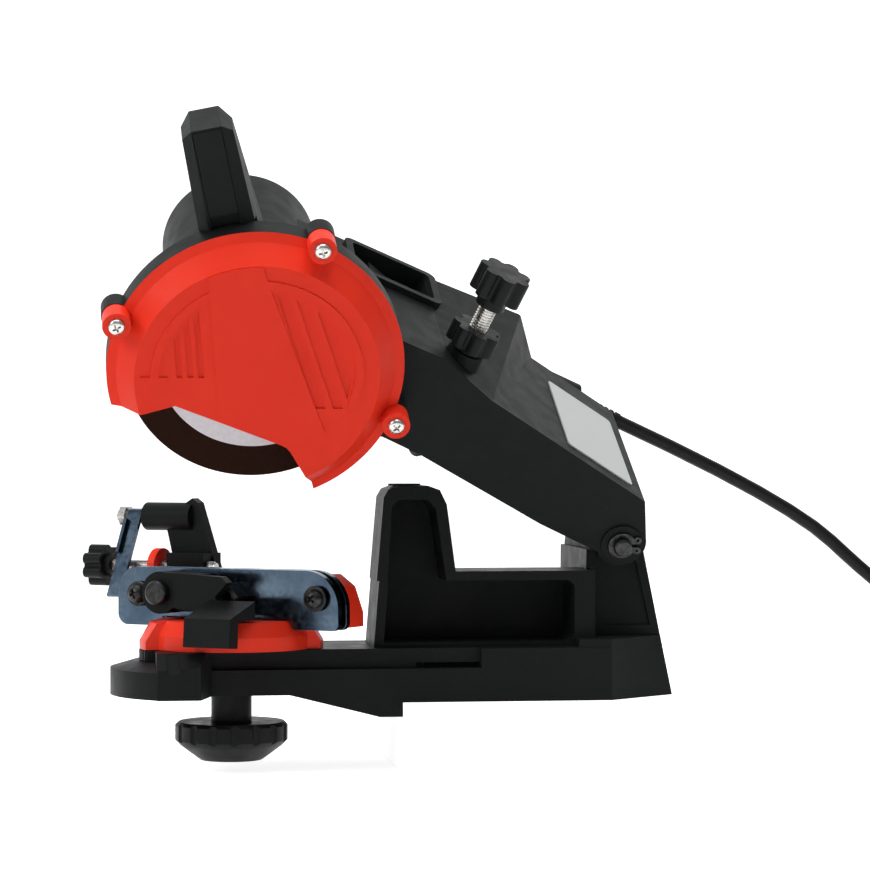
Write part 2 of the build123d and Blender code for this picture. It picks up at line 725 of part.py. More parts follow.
with BuildPart() as switch_rocker:
    with BuildSketch(rocker_plane.offset(-rocker_width / 2)):
        with BuildLine():
            Polyline(
                (-rocker_length / 2, -1.5),
                (-rocker_length / 2, 5.7),
                (-0.5, 2.9),
                (rocker_length / 2, 1.7),
                (rocker_length / 2, -1.5),
                (0, -4.0),
                close=True,
            )
        make_face()
    extrude(amount=rocker_width)
    with BuildSketch(rocker_plane.offset(-rocker_width / 2 - trunnion_reach)):
        Circle(trunnion_radius)
    extrude(amount=rocker_width + 2 * trunnion_reach)
switch_rocker.part.label = "switch_rocker"
export_step(switch_rocker.part, "parts/switch_rocker.step")

with BuildPart() as cord_boot:
    with BuildSketch(
        Plane(origin=cord_start - cord_way * (boot_length + 0.1), x_dir=head.z_dir, z_dir=cord_way)
    ):
        Circle(boot_large)
    with BuildSketch(
        Plane(origin=cord_start - cord_way * 0.1, x_dir=head.z_dir, z_dir=cord_way)
    ):
        Circle(boot_small)
    loft(ruled=True)
cord_boot.part.label = "cord_boot"
export_step(cord_boot.part, "parts/cord_boot.step")

# =====================================================================
# Depth stop
# =====================================================================


def lobes(radius, count=7):
    """Sketch of a knob with round lobes, drawn in the open sketch."""
    lobe = radius * 0.28
    Circle(radius - 0.8 * lobe)
    with PolarLocations(radius - lobe, count):
        Circle(lobe)


with BuildPart() as stop_foot:
    with BuildSketch(stop_axis):
        Circle(stop_foot_radius)
    extrude(amount=stop_foot_long)
    chamfer(
        stop_foot.faces().sort_by(Axis(stop_axis.origin, stop_axis.z_dir))[0].edges(),
        stop_foot_edge,
    )
stop_foot.part.label = "stop_foot"
export_step(stop_foot.part, "parts/stop_foot.step")

with BuildPart() as stop_screw:
    with BuildSketch(stop_axis.offset(stop_foot_long + seat_gap)):
        Circle(stop_radius)
    extrude(amount=stop_length - stop_foot_long)
    chamfer(stop_screw.faces().sort_by(Axis(stop_axis.origin, stop_axis.z_dir))[-1].edges(), 0.8)
stop_screw.part.label = "stop_screw"
export_step(stop_screw.part, "parts/stop_screw.step")

with BuildPart() as stop_lock_knob:
    with BuildSketch(stop_axis.offset(lock_start)):
        Circle(lock_radius * 0.62)
    extrude(amount=2)
    with BuildSketch(stop_axis.offset(lock_start + 2)):
        lobes(lock_radius)
    extrude(amount=lock_thick - 2)
    with BuildSketch(stop_axis.offset(lock_start)):
        Circle(stop_radius + fit)
    extrude(amount=lock_thick, mode=Mode.SUBTRACT)
stop_lock_knob.part.label = "stop_lock_knob"
export_step(stop_lock_knob.part, "parts/stop_lock_knob.step")

with BuildPart() as stop_knob:
    with BuildSketch(stop_axis.offset(knob_start)):
        Circle(knob_radius * 0.55)
    extrude(amount=5)
    with BuildSketch(stop_axis.offset(knob_start + 5)):
        lobes(knob_radius)
    extrude(amount=knob_thick - 5)
    with BuildSketch(stop_axis.offset(knob_start)):
        Circle(stop_radius + fit)
    extrude(amount=stop_length + 3 * seat_gap - knob_start, mode=Mode.SUBTRACT)
stop_knob.part.label = "stop_knob"
export_step(stop_knob.part, "parts/stop_knob.step")

# =====================================================================
# Base
# =====================================================================
table_side = Plane(origin=(table_x, table_y, 0), x_dir=(1, 0, 0), z_dir=(0, -1, 0))
table_axis = Axis((table_x, table_y, 0), (0, 0, 1))
beam_side = Plane(origin=(0, foot_front, 0), x_dir=(1, 0, 0), z_dir=(0, -1, 0))
box_side = Plane(origin=(0, box_front, 0), x_dir=(1, 0, 0), z_dir=(0, -1, 0))

with BuildPart() as hinge_web:
    with BuildSketch(head.offset(-hinge_front)):
        with Locations(pin_place):
            Circle(knuckle_radius)
        with BuildLine():
            Polyline(
                (pin_right - knuckle_radius, -pin_drop),
                (pin_right + knuckle_radius, -pin_drop),
                (pin_right + knuckle_radius + 8, -pin_drop - 80),
                (pin_right - knuckle_radius - 8, -pin_drop - 80),
                close=True,
            )
        make_face()
    extrude(amount=-(hinge_back - hinge_front))
    with BuildSketch(Plane.XY.offset(10)):
        with Locations(((block_left + foot_right) / 2, (block_back - 60) / 2)):
            Rectangle(80, block_back + 60 + 2)
    extrude(amount=150, mode=Mode.INTERSECT)

with BuildPart() as base_casting:
    # Round table that hangs over the bench's edge, cut straight in front.
    with BuildSketch(table_side):
        with BuildLine():
            Polyline(
                (0, beam_under),
                (plate_radius, beam_under),
                (plate_radius, plate_rim),
                (ring_radius + 3, plate_shelf),
                (hub_radius, plate_shelf),
                (hub_radius, deck),
                (0, deck),
                close=True,
            )
        make_face()
    revolve(axis=table_axis)
    with BuildSketch(Plane.YZ.offset(nose_left)):
        with BuildLine():
            Polyline(
                (nose_front, beam_under),
                (nose_front, nose_rim),
                (table_y - hub_radius, deck),
                (table_y - 15, deck),
                (table_y - 15, beam_under),
                close=True,
            )
        make_face()
    extrude(amount=beam_left - nose_left + 4)
    with BuildSketch(Plane.XY):
        with BuildLine():
            Polyline(
                (table_x - 2 * plate_radius, nose_front),
                (nose_right, nose_front),
                (beam_left, foot_front),
                (0, foot_front),
                (0, -3 * plate_radius),
                (table_x - 2 * plate_radius, -3 * plate_radius),
                close=True,
            )
        make_face()
    extrude(amount=deck + 1, mode=Mode.SUBTRACT)
    with BuildSketch(Plane.YZ.offset(nose_left + 4)):
        with BuildLine():
            Polyline(
                (nose_front - 1, nose_rim - 2.5),
                (nose_front - 1, deck + 1),
                (table_y - hub_radius, deck + 1),
                (table_y - hub_radius, deck - 0.5),
                close=True,
            )
        make_face()
    extrude(amount=5.5, mode=Mode.SUBTRACT)
    # Beam with the lip that takes the bench's edge.
    with BuildSketch(beam_side):
        with BuildLine():
            Polyline(
                (beam_left, beam_under),
                (slope_left, beam_under),
                (lip_left, -lip_drop),
                (lip_right, -lip_drop),
                (lip_right, -0.01),
                (lip_right + 1.2, 0),
                (corner_x, 0),
                (corner_x, deck),
                (beam_left, deck),
                close=True,
            )
        make_face()
    extrude(amount=-(beam_back - foot_front))
    with BuildSketch(beam_side):
        with Locations(((beam_left + recess_right) / 2, (recess_bottom + deck) / 2 + 2)):
            Rectangle(recess_right - beam_left + 0.02, deck - recess_bottom + 4)
    extrude(amount=-recess_deep, mode=Mode.SUBTRACT)
    # Foot and pedestal.
    with BuildSketch(Plane.XY):
        with BuildLine():
            Polyline(
                (foot_left, foot_front + 12),
                (corner_x - 10, foot_front + 12),
                (corner_x - 10, foot_back),
                (foot_left, foot_back),
                close=True,
            )
        make_face()
    extrude(amount=deck)
    with BuildSketch(Plane.XY):
        with BuildLine():
            Polyline(
                (pedestal_left, foot_front),
                (corner_x, foot_front),
                (foot_right, corner_y),
                (foot_right, foot_back),
                (pedestal_left, foot_back),
                close=True,
            )
        make_face()
    with BuildSketch(Plane.XY.offset(pedestal_top)):
        with BuildLine():
            Polyline(
                (pedestal_left + 3, foot_front + 0.5),
                (corner_x, foot_front + 0.5),
                (foot_right - block_lean * pedestal_top, corner_y),
                (foot_right - block_lean * pedestal_top, foot_back - 2),
                (pedestal_left + 3, foot_back - 2),
                close=True,
            )
        make_face()
    loft(ruled=True)
    # Hinge block, leaning on its right side.
    with BuildSketch(beam_side.offset(foot_front - block_front)):
        with BuildLine():
            Polyline(
                (block_left, 0),
                (foot_right, 0),
                (foot_right - block_lean * block_top, block_top),
                (block_left + 1, block_top),
                close=True,
            )
        make_face()
    extrude(amount=-(block_back - block_front))
    add(hinge_web.part)
    # Open box in front of the hinge block, and the tower of the depth stop.
    with BuildSketch(box_side):
        with BuildLine():
            Polyline(
                (box_left, deck - 3),
                (box_right, deck - 3),
                (box_right, box_top),
                (box_left + box_draft + 1, box_top),
                (box_left + box_draft, box_top - 4),
                close=True,
            )
        make_face()
    extrude(amount=-(box_back - box_front))
    with BuildSketch(box_side):
        with BuildLine():
            Polyline(
                (tower_left, box_top - 4),
                (tower_left + 3.0, tower_top - 5),
                (tower_left + 5.0, tower_top - 1.6),
                (tower_left + 9.2, tower_top),
                (tower_right - 12.5, tower_top),
                (tower_right - 7.4, tower_top - 1.8),
                (tower_right - 4.4, tower_top - 8),
                (tower_right, box_top - 4),
                close=True,
            )
        make_face()
    extrude(amount=-(tower_back - box_front))
    with BuildSketch(Plane.XY.offset(tower_top)):
        with Locations((pad_x, pad_y)):
            Circle(pad_radius)
    extrude(amount=pad_high)
    with BuildSketch(box_side.offset(1)):
        with BuildLine():
            Polyline(
                (box_left + box_wall + 0.5, deck + box_sill),
                (box_right - box_rim, deck + box_sill),
                (box_right - box_rim, box_top - box_wall),
                (box_left + box_draft + box_wall, box_top - box_wall),
                close=True,
            )
        opening = make_face()
        fillet(opening.vertices().sort_by(Axis.X)[2:], box_corner)
    extrude(amount=-(box_back - box_front - box_wall + 1), mode=Mode.SUBTRACT)
    # Sunk front of the hinge block with round lower corners.
    with BuildSketch(beam_side.offset(foot_front - block_front + 1)):
        with BuildLine():
            Polyline(
                (block_left + block_rim, pedestal_top + block_rim),
                (foot_right - block_rim - block_lean * pedestal_top, pedestal_top + block_rim),
                (foot_right - block_rim - block_lean * block_top, block_top + 1),
                (block_left + block_rim + 1, block_top + 1),
                close=True,
            )
        panel = make_face()
        fillet(panel.vertices().sort_by(Axis.Z)[:2], block_corner)
    extrude(amount=-(block_sunk + 1), mode=Mode.SUBTRACT)
    with BuildSketch(box_side.offset(1)):
        with BuildLine():
            Polyline(
                (tower_left + tower_wall + 1, box_top - box_wall - 1),
                (tower_left + tower_wall + 3, tower_top - 9),
                (tower_left + tower_wall + 6, tower_top - 6),
                (tower_right - tower_wall - 9, tower_top - 6),
                (tower_right - tower_wall - 5.5, tower_top - 10),
                (tower_right - tower_wall - 0.8, box_top - box_wall - 1),
                close=True,
            )
        make_face()
    extrude(amount=-(tower_back - box_front - tower_wall + 1), mode=Mode.SUBTRACT)
    # Hollow underside with crossed ribs and posts round the bench bolts.
    with BuildSketch(Plane.XY):
        with BuildLine():
            Polyline(
                (foot_left + foot_wall, foot_front + foot_wall),
                (corner_x - 2, foot_front + foot_wall),
                (foot_right - foot_wall, corner_y + 2),
                (foot_right - foot_wall - 1, foot_back - foot_wall),
                (foot_left + foot_wall, foot_back - foot_wall),
                close=True,
            )
        make_face()
        with Locations((bolt_mid_x, bolt_mid_y)):
            with GridLocations(bolt_dx, bolt_dy, 2, 2):
                Circle(bolt_hole + 4, mode=Mode.SUBTRACT)
        Rectangle(rib_thick, 2 * foot_back, mode=Mode.SUBTRACT)
        Rectangle(3 * foot_back, rib_thick, mode=Mode.SUBTRACT)
    extrude(amount=deck - foot_roof, mode=Mode.SUBTRACT)
    with BuildSketch(Plane.XY.offset(-5)):
        with Locations((bolt_mid_x, bolt_mid_y)):
            with GridLocations(bolt_dx, bolt_dy, 2, 2):
                Circle(bolt_hole)
    extrude(amount=deck + 20, mode=Mode.SUBTRACT)
    # Bores of the table bolt and of the hinge pin.
    with BuildSketch(Plane.XY):
        with Locations((table_x, table_y)):
            Circle(table_bolt_radius + fit)
    extrude(amount=deck + 1, mode=Mode.SUBTRACT)
    with BuildSketch(head):
        with Locations(pin_place):
            Circle(pin_radius + fit)
    extrude(amount=-arm_far, mode=Mode.SUBTRACT)
base_casting.part.label = "base_casting"
export_step(base_casting.part, "parts/base_casting.step")

# Toothed ring round the hub, on the outer half of the table only.
with BuildPart() as angle_ring:
    with BuildSketch(Plane.XY.offset(plate_shelf + seat_gap)):
        with Locations((table_x, table_y)):
            Circle(ring_radius)
            Circle(ring_inner, mode=Mode.SUBTRACT)
            with PolarLocations(ring_radius, ring_teeth):
                Rectangle(1.8, 1.5, mode=Mode.SUBTRACT)
        with Locations((beam_left - 0.3 - ring_radius, table_y - 14.7 + ring_radius)):
            Rectangle(2 * ring_radius, 2 * ring_radius, mode=Mode.INTERSECT)
    extrude(amount=ring_top - plate_shelf - seat_gap)
angle_ring.part.label = "angle_ring"
export_step(angle_ring.part, "parts/angle_ring.step")

with BuildPart() as hinge_pin:
    with BuildSketch(head.offset(pin_nose)):
        with Locations(pin_place):
            Circle(pin_radius)
    extrude(amount=-(pin_nose + pin_tail))
    near_clip = -arm_near + arm_boss_height + clip_gap
    far_clip = -arm_far - arm_boss_height - clip_gap - clip_thick
    for groove in (near_clip, far_clip):
        with BuildSketch(head.offset(groove - 0.1)):
            with Locations(pin_place):
                Circle(pin_radius + 1)
                Circle(pin_radius - clip_groove, mode=Mode.SUBTRACT)
        extrude(amount=clip_thick + 0.2, mode=Mode.SUBTRACT)
    chamfer(hinge_pin.faces().sort_by(spindle)[-1].edges(), 0.7)
    chamfer(hinge_pin.faces().sort_by(spindle)[0].edges(), 0.7)
hinge_pin.part.label = "hinge_pin"
export_step(hinge_pin.part, "parts/hinge_pin.step")

for name, start in (("circlip_near", near_clip), ("circlip_far", far_clip)):
    with BuildPart() as circlip:
        with BuildSketch(head.offset(start)):
            with Locations(pin_place):
                Circle(clip_radius)
            with Locations(
                (pin_right + clip_ear_x, -pin_drop + clip_ear_y),
                (pin_right + clip_ear_x, -pin_drop - clip_ear_y),
            ):
                Circle(clip_ear)
            with Locations(pin_place):
                Circle(pin_radius - clip_groove + fit, mode=Mode.SUBTRACT)
            with Locations((pin_right + clip_ear_x, -pin_drop)):
                Rectangle(9, 1.6, mode=Mode.SUBTRACT)
            with Locations(
                (pin_right + clip_ear_x, -pin_drop + clip_ear_y),
                (pin_right + clip_ear_x, -pin_drop - clip_ear_y),
            ):
                Circle(0.6, mode=Mode.SUBTRACT)
        extrude(amount=clip_thick)
    circlip.part.label = name
    export_step(circlip.part, f"parts/{name}.step")

# =====================================================================
# Turntable and chain vise
# =====================================================================
with BuildPart() as lugs_ring:
    with BuildSketch(table_side):
        with BuildLine():
            Polyline(
                (table_bolt_radius + fit, deck + seat_gap),
                (lug_reach, deck + seat_gap),
                (lug_reach, lug_edge),
                (turn_radius + 0.8, turn_top - 1),
                (turn_radius - 3, turn_top),
                (table_bolt_radius + fit, turn_top),
                close=True,
            )
        make_face()
    revolve(axis=table_axis)
    with BuildSketch(Plane.XY):
        with Locations((table_x, table_y)):
            Rectangle(2 * lug_reach + 2, lug_width)
    extrude(amount=60, mode=Mode.INTERSECT)

wall_front = jaw_gap / 2 + jaw_thick + seat_gap
with BuildPart() as vise_body:
    with BuildSketch(table_side):
        with BuildLine():
            Polyline(
                (table_bolt_radius + fit, deck + seat_gap),
                (turn_radius, deck + seat_gap),
                (turn_radius, deck + 6),
                (turn_radius - 3, turn_top),
                (table_bolt_radius + fit, turn_top),
                close=True,
            )
        make_face()
    revolve(axis=table_axis)
    add(lugs_ring.part)
    with BuildSketch(front_jaw_plane.offset(-wall_front)):
        with BuildLine():
            Polyline(
                (wall_left, turn_top - 2),
                (wall_left, wall_top),
                (jaw_right - 11, wall_top),
                (jaw_right - 4, wall_top - 5),
                (jaw_right, wall_top - 16),
                (jaw_right, jaw_bottom + 1),
                (jaw_right - 14, jaw_bottom),
                (jaw_right - 22, turn_top - 2),
                close=True,
            )
        make_face()
    extrude(amount=-wall_thick)
    # Ear of the adjuster screw on the wall's left end.
    ear_plane = Plane(
        origin=vise_point(ear_left, screw_y, screw_z), x_dir=vise.y_dir, z_dir=vise.x_dir
    )  # back, up, along the jaws
    with BuildSketch(ear_plane):
        Circle(ear_radius)
        with Locations((0, -ear_radius)):
            Rectangle(2 * ear_radius, 2 * ear_radius)
    extrude(amount=ear_right - ear_left)
    with BuildSketch(vise.offset(groove_bottom)):
        with Locations(((ear_right + groove_right) / 2, wall_front + wall_thick)):
            Rectangle(groove_right - ear_right, 2 * (wall_front + wall_thick - screw_y + 5))
    extrude(amount=wall_top, mode=Mode.SUBTRACT)
    # Threaded holes of the jaw screws, the stud and the adjuster.
    with BuildSketch(front_jaw_plane.offset(-wall_front)):
        with Locations((jaw_bolt_left, jaw_bolt_z), (jaw_bolt_right, jaw_bolt_z)):
            Circle(jaw_bolt_radius + fit)
        with Locations((stud_x, stud_z)):
            Circle(stud_radius + fit)
    extrude(amount=-wall_thick + 1.5, mode=Mode.SUBTRACT)
    with BuildSketch(ear_plane.offset(-1)):
        Circle(adjust_radius + fit)
    extrude(amount=20, mode=Mode.SUBTRACT)
vise_body.part.label = "vise_body"
export_step(vise_body.part, "parts/vise_body.step")


# Outline of a jaw plate: along the jaws and up.
with BuildSketch() as jaw_shape:
    with BuildLine():
        FilletPolyline(
            (jaw_left, jaw_bottom),
            (jaw_left, jaw_top),
            (jaw_right, jaw_top),
            (jaw_right, jaw_bottom),
            (notch_right + 2, jaw_bottom),
            (notch_right, notch_top),
            (notch_left, notch_top),
            (notch_left - 2, jaw_bottom),
            close=True,
            radius=[jaw_corner, jaw_corner + 5, jaw_round, jaw_corner - 2, 1, 1, 1, 1],
        )
    make_face()
    with Locations((jaw_bolt_left, jaw_bolt_z), (jaw_bolt_right, jaw_bolt_z)):
        Circle(jaw_bolt_radius + fit, mode=Mode.SUBTRACT)
    with Locations((stud_x, stud_z)):
        Circle(stud_radius + fit, mode=Mode.SUBTRACT)

jaw_face = jaw_gap / 2 + jaw_thick
for name, start in (("rear_jaw", -jaw_face), ("front_jaw", jaw_gap / 2)):
    with BuildPart() as jaw:
        with BuildSketch(front_jaw_plane.offset(start)):
            add(jaw_shape.sketch)
        extrude(amount=jaw_thick)
    jaw.part.label = name
    export_step(jaw.part, f"parts/{name}.step")

with BuildPart() as guide_block:
    with BuildSketch(front_jaw_plane.offset(jaw_face + 0.05)):
        with Locations((guide_x, guide_z)):
            Rectangle(guide_half * 2**0.5, guide_half * 2**0.5, rotation=45)
            Circle(2.0, mode=Mode.SUBTRACT)
    extrude(amount=guide_long)
guide_block.part.label = "guide_block"
export_step(guide_block.part, "parts/guide_block.step")

washer_back = jaw_face + jaw_travel + 0.3
for name, x in (("jaw_bolt_left", jaw_bolt_left), ("jaw_bolt_right", jaw_bolt_right)):
    with BuildPart() as jaw_bolt:
        with BuildSketch(front_jaw_plane.offset(-wall_front - 8)):
            with Locations((x, jaw_bolt_z)):
                Circle(jaw_bolt_radius)
        extrude(amount=wall_front + 8 + washer_back)
        with BuildSketch(front_jaw_plane.offset(washer_back)):
            with Locations((x, jaw_bolt_z)):
                Circle(washer_radius)
        extrude(amount=washer_thick)
        with BuildSketch(front_jaw_plane.offset(washer_back + washer_thick)):
            with Locations((x, jaw_bolt_z)):
                Circle(jaw_bolt_head)
        extrude(amount=2 * jaw_bolt_radius)
        with BuildSketch(front_jaw_plane.offset(washer_back + washer_thick + 2)):
            with Locations((x, jaw_bolt_z)):
                RegularPolygon(jaw_bolt_socket, 6, major_radius=False)
        extrude(amount=2 * jaw_bolt_radius, mode=Mode.SUBTRACT)
    jaw_bolt.part.label = name
    export_step(jaw_bolt.part, f"parts/{name}.step")

lever_start = jaw_face + lever_back
with BuildPart() as clamp_stud:
    with BuildSketch(front_jaw_plane.offset(-wall_front - 8)):
        with Locations((stud_x, stud_z)):
            Circle(stud_radius)
    extrude(amount=wall_front + 8 + lever_face + 0.2)
    with BuildSketch(front_jaw_plane.offset(lever_face + 0.2)):
        with Locations((stud_x, stud_z)):
            Circle(stud_cap)
    extrude(amount=4)
    stud_end = clamp_stud.faces().sort_by(Axis(front_jaw_plane.origin, front_jaw_plane.z_dir))[-1]
    chamfer(stud_end.edges(), 0.8)
clamp_stud.part.label = "clamp_stud"
export_step(clamp_stud.part, "parts/clamp_stud.step")

# The lever's hub and web stay behind the guide block's reach; its arm passes in front of it.
lever_side = Plane(
    origin=vise_point(0, 0, 0), x_dir=-vise.y_dir, z_dir=-vise.x_dir
)  # forward, up, to the left
with BuildPart() as clamp_lever:
    with BuildSketch(front_jaw_plane.offset(lever_start)):
        with Locations((stud_x, stud_z)):
            Circle(9)
        with BuildLine():
            Polyline(
                (-23, 55.3),
                (-6, 54.4),
                (-1.2, 46.5),
                (-5.5, 38.6),
                (-14, 38.4),
                (-23, 40),
                close=True,
            )
        make_face()
    extrude(amount=lever_plate - lever_start)
    with BuildSketch(front_jaw_plane.offset(lever_plate)):
        with Locations((stud_x, stud_z)):
            Circle(9)
        with BuildLine():
            Polyline(
                (-22, 55.2),
                (7.6, 53.8),
                (10.5, 51.3),
                (4.6, 45.3),
                (8.6, 37.8),
                (14.5, 36.8),
                (3.0, 36.6),
                (-5.8, 38.7),
                (-18, 40.5),
                close=True,
            )
        make_face()
    extrude(amount=lever_face - lever_plate)
    with BuildSketch(lever_side.offset(-24.5)):
        with BuildLine():
            Polyline(
                (lever_plate, 44.0),
                (lever_face, 44.0),
                (lever_reach - 1, 37.4),
                (lever_reach, 25.4),
                (turn_radius + 1.2, 25.0),
                (turn_radius + 0.6, turn_top + 1),
                (lever_plate, turn_top + 1.4),
                close=True,
            )
        make_face()
    extrude(amount=22.5)
    with BuildSketch(front_jaw_plane.offset(lever_plate - 1)):
        with BuildLine():
            Polyline((4.6, 45.3), (8.6, 37.8), (30, 37.0), (30, 60), (4.6, 60), close=True)
        make_face()
    extrude(amount=lever_face - lever_plate + 1.2, mode=Mode.SUBTRACT)
    with BuildSketch(front_jaw_plane.offset(lever_plate)):
        with BuildLine():
            Polyline((4.0, 53.9), (7.6, 53.8), (10.5, 51.3), (4.6, 45.3), (4.0, 45.3), close=True)
        make_face()
    extrude(amount=lever_face - lever_plate)
    with BuildSketch(front_jaw_plane):
        with Locations((stud_x, stud_z)):
            Circle(stud_radius + fit)
    extrude(amount=lever_reach, mode=Mode.SUBTRACT)
clamp_lever.part.label = "clamp_lever"
export_step(clamp_lever.part, "parts/clamp_lever.step")

# =====================================================================
# Chain stop
# =====================================================================
bracket_plane = Plane(
    origin=vise_point(0, bracket_y - bracket_thick / 2, 0), x_dir=vise.x_dir, z_dir=-vise.y_dir
)
boss_plane = Plane(
    origin=vise_point(boss_left, bracket_y, boss_z), x_dir=vise.y_dir, z_dir=vise.x_dir
)
screw_plane = Plane(
    origin=vise_point(0, screw_y, screw_z), x_dir=vise.y_dir, z_dir=vise.x_dir
)
with BuildPart() as stop_bracket:
    with BuildSketch(bracket_plane):
        with BuildLine():
            Polyline(
                (bracket_left, groove_bottom),
                (bracket_left, 62.0),
                (bracket_left - 2.5, boss_z - boss_radius + 0.5),
                (bracket_left - 2.5, boss_z),
                (boss_right, boss_z + boss_radius + 2),
                (boss_right + 3.0, boss_z + boss_radius),
                (bracket_right + 2.0, groove_bottom),
                close=True,
            )
        make_face()
    extrude(amount=-bracket_thick)
    with BuildSketch(boss_plane):
        Circle(boss_radius)
    extrude(amount=boss_right - boss_left)
    with BuildSketch(vise.offset(groove_bottom + seat_gap)):
        with Locations(((bracket_left + bracket_right) / 2, (screw_y + bracket_y) / 2)):
            Rectangle(bracket_right - bracket_left - 4, bracket_y - screw_y + 9)
    extrude(amount=screw_z - groove_bottom + 6)
    with BuildSketch(vise.offset(groove_bottom + seat_gap)):
        Rectangle(4 * jaw_right, 4 * jaw_right)
    extrude(amount=-5, mode=Mode.SUBTRACT)
    with BuildSketch(screw_plane.offset(-80)):
        Circle(adjust_radius + fit)
    extrude(amount=80, mode=Mode.SUBTRACT)
    with BuildSketch(boss_plane):
        Circle(pawl_pin_radius + fit)
    extrude(amount=12, mode=Mode.SUBTRACT)
stop_bracket.part.label = "stop_bracket"
export_step(stop_bracket.part, "parts/stop_bracket.step")

with BuildPart() as adjust_screw:
    with BuildSketch(screw_plane.offset(adjust_knob_left + 2)):
        Circle(adjust_radius)
    extrude(amount=bracket_right + 2 - adjust_knob_left - 2)
    with BuildSketch(screw_plane.offset(ear_left - 0.2)):
        Circle(adjust_radius + 2)
    extrude(amount=-1.6)
adjust_screw.part.label = "adjust_screw"
export_step(adjust_screw.part, "parts/adjust_screw.step")

with BuildPart() as adjust_knob:
    with BuildSketch(screw_plane.offset(adjust_knob_left)):
        lobes(adjust_knob_radius)
    extrude(amount=adjust_knob_thick)
    with BuildSketch(screw_plane.offset(adjust_knob_left + adjust_knob_thick)):
        Circle(adjust_knob_radius * 0.55)
    extrude(amount=2.5)
    with BuildSketch(screw_plane.offset(adjust_knob_left + 1.8)):
        Circle(adjust_radius + fit)
    extrude(amount=20, mode=Mode.SUBTRACT)
adjust_knob.part.label = "adjust_knob"
export_step(adjust_knob.part, "parts/adjust_knob.step")

pin_plane = boss_plane.offset(pawl_pin_left - boss_left)
with BuildPart() as pawl_pin:
    with BuildSketch(pin_plane):
        Circle(pawl_pin_radius)
    extrude(amount=boss_left + 11 - pawl_pin_left)
pawl_pin.part.label = "pawl_pin"
export_step(pawl_pin.part, "parts/pawl_pin.step")

with BuildPart() as pawl_nut:
    with BuildSketch(pin_plane.offset(1.6)):
        RegularPolygon(4.0, 6, major_radius=False)
        Circle(pawl_pin_radius + fit, mode=Mode.SUBTRACT)
    extrude(amount=3.4)
pawl_nut.part.label = "pawl_nut"
export_step(pawl_nut.part, "parts/pawl_nut.step")

# The pawl is a strip that hangs from a sleeve and leans towards the slot between the jaws.
pawl_plane = Plane(
    origin=boss_plane.origin + vise.x_dir * (pawl_left - boss_left),
    x_dir=vise.y_dir * cos(radians(pawl_lean)) - vise.z_dir * sin(radians(pawl_lean)),
    z_dir=vise.x_dir,
)  # across the strip, up along it, along the jaws
with BuildPart() as pawl:
    with BuildSketch(pawl_plane):
        Circle(sleeve_radius)
    extrude(amount=pawl_width + 1.2)
    with BuildSketch(pawl_plane):
        with Locations((pawl_thick / 2 - sleeve_radius, -pawl_length / 2)):
            Rectangle(pawl_thick, pawl_length)
    extrude(amount=pawl_width)
    with BuildSketch(pawl_plane):
        with Locations((-sleeve_radius - pawl_flange / 2, -pawl_flange_long / 2 - sleeve_radius)):
            Rectangle(pawl_flange + 0.2, pawl_flange_long)
    extrude(amount=pawl_thick)
    with BuildSketch(pawl_plane):
        Circle(pawl_pin_radius + fit)
    extrude(amount=pawl_width + 2, mode=Mode.SUBTRACT)
pawl.part.label = "pawl"
export_step(pawl.part, "parts/pawl.step")

# =====================================================================
# Lock of the table
# =====================================================================
with BuildPart() as table_bolt:
    with BuildSketch(Plane.XY.offset(hand_top + 0.5 - 6)):
        with Locations((table_x, table_y)):
            Circle(table_bolt_radius)
    extrude(amount=table_bolt_top - hand_top - 0.5 + 6)
table_bolt.part.label = "table_bolt"
export_step(table_bolt.part, "parts/table_bolt.step")

with BuildPart() as table_knob:
    with BuildSketch(table_side):
        with BuildLine():
            Polyline(
                (0, hand_bottom),
                (hand_radius * 0.55, hand_bottom),
                (hand_radius - 2.5, hand_side),
                (hand_radius, hand_side + 2.5),
                (hand_radius, hand_top - 1.5),
                (hand_radius - 1.5, hand_top),
                (stem_radius, hand_top),
                (stem_radius, beam_under - seat_gap),
                (table_bolt_radius + fit, beam_under - seat_gap),
                (table_bolt_radius + fit, hand_top - 5.6),
                (0, hand_top - 5.6),
                close=True,
            )
        make_face()
    revolve(axis=table_axis)
    with BuildSketch(Plane.XY.offset(hand_bottom)):
        with Locations((table_x, table_y)):
            with PolarLocations(hand_radius + 1.6, 16):
                Circle(2.6)
    extrude(amount=hand_top - hand_bottom, mode=Mode.SUBTRACT)
table_knob.part.label = "table_knob"
export_step(table_knob.part, "parts/table_knob.step")

# =====================================================================
# Cord: tube, coil and plug
# =====================================================================
route = [Vector(*point) for point in cord_route]
runs = [b - a for a, b in zip(route, route[1:])]
turns = [a.get_angle(b) for a, b in zip(runs, runs[1:])]
radii = [
    0.45 * min(a.length, b.length) / tan(radians(turn) / 2)
    for a, b, turn in zip(runs, runs[1:], turns)
]
print("cord runs", [round(run.length, 1) for run in runs])
print("cord radii", [round(radius, 1) for radius in radii])

with BuildPart() as power_cord:
    with BuildLine() as cord_path:
        FilletPolyline(*route, radius=radii)
    with BuildSketch(Plane(origin=route[0], z_dir=runs[0])):
        Circle(cord_radius)
    sweep(path=cord_path.wire())
power_cord.part.label = "power_cord"
export_step(power_cord.part, "parts/power_cord.step")
path_length = cord_path.wire().length
print("cord length", round(path_length, 1))
print("cord volume ratio", round(power_cord.part.volume / (pi * cord_radius**2 * path_length), 4))

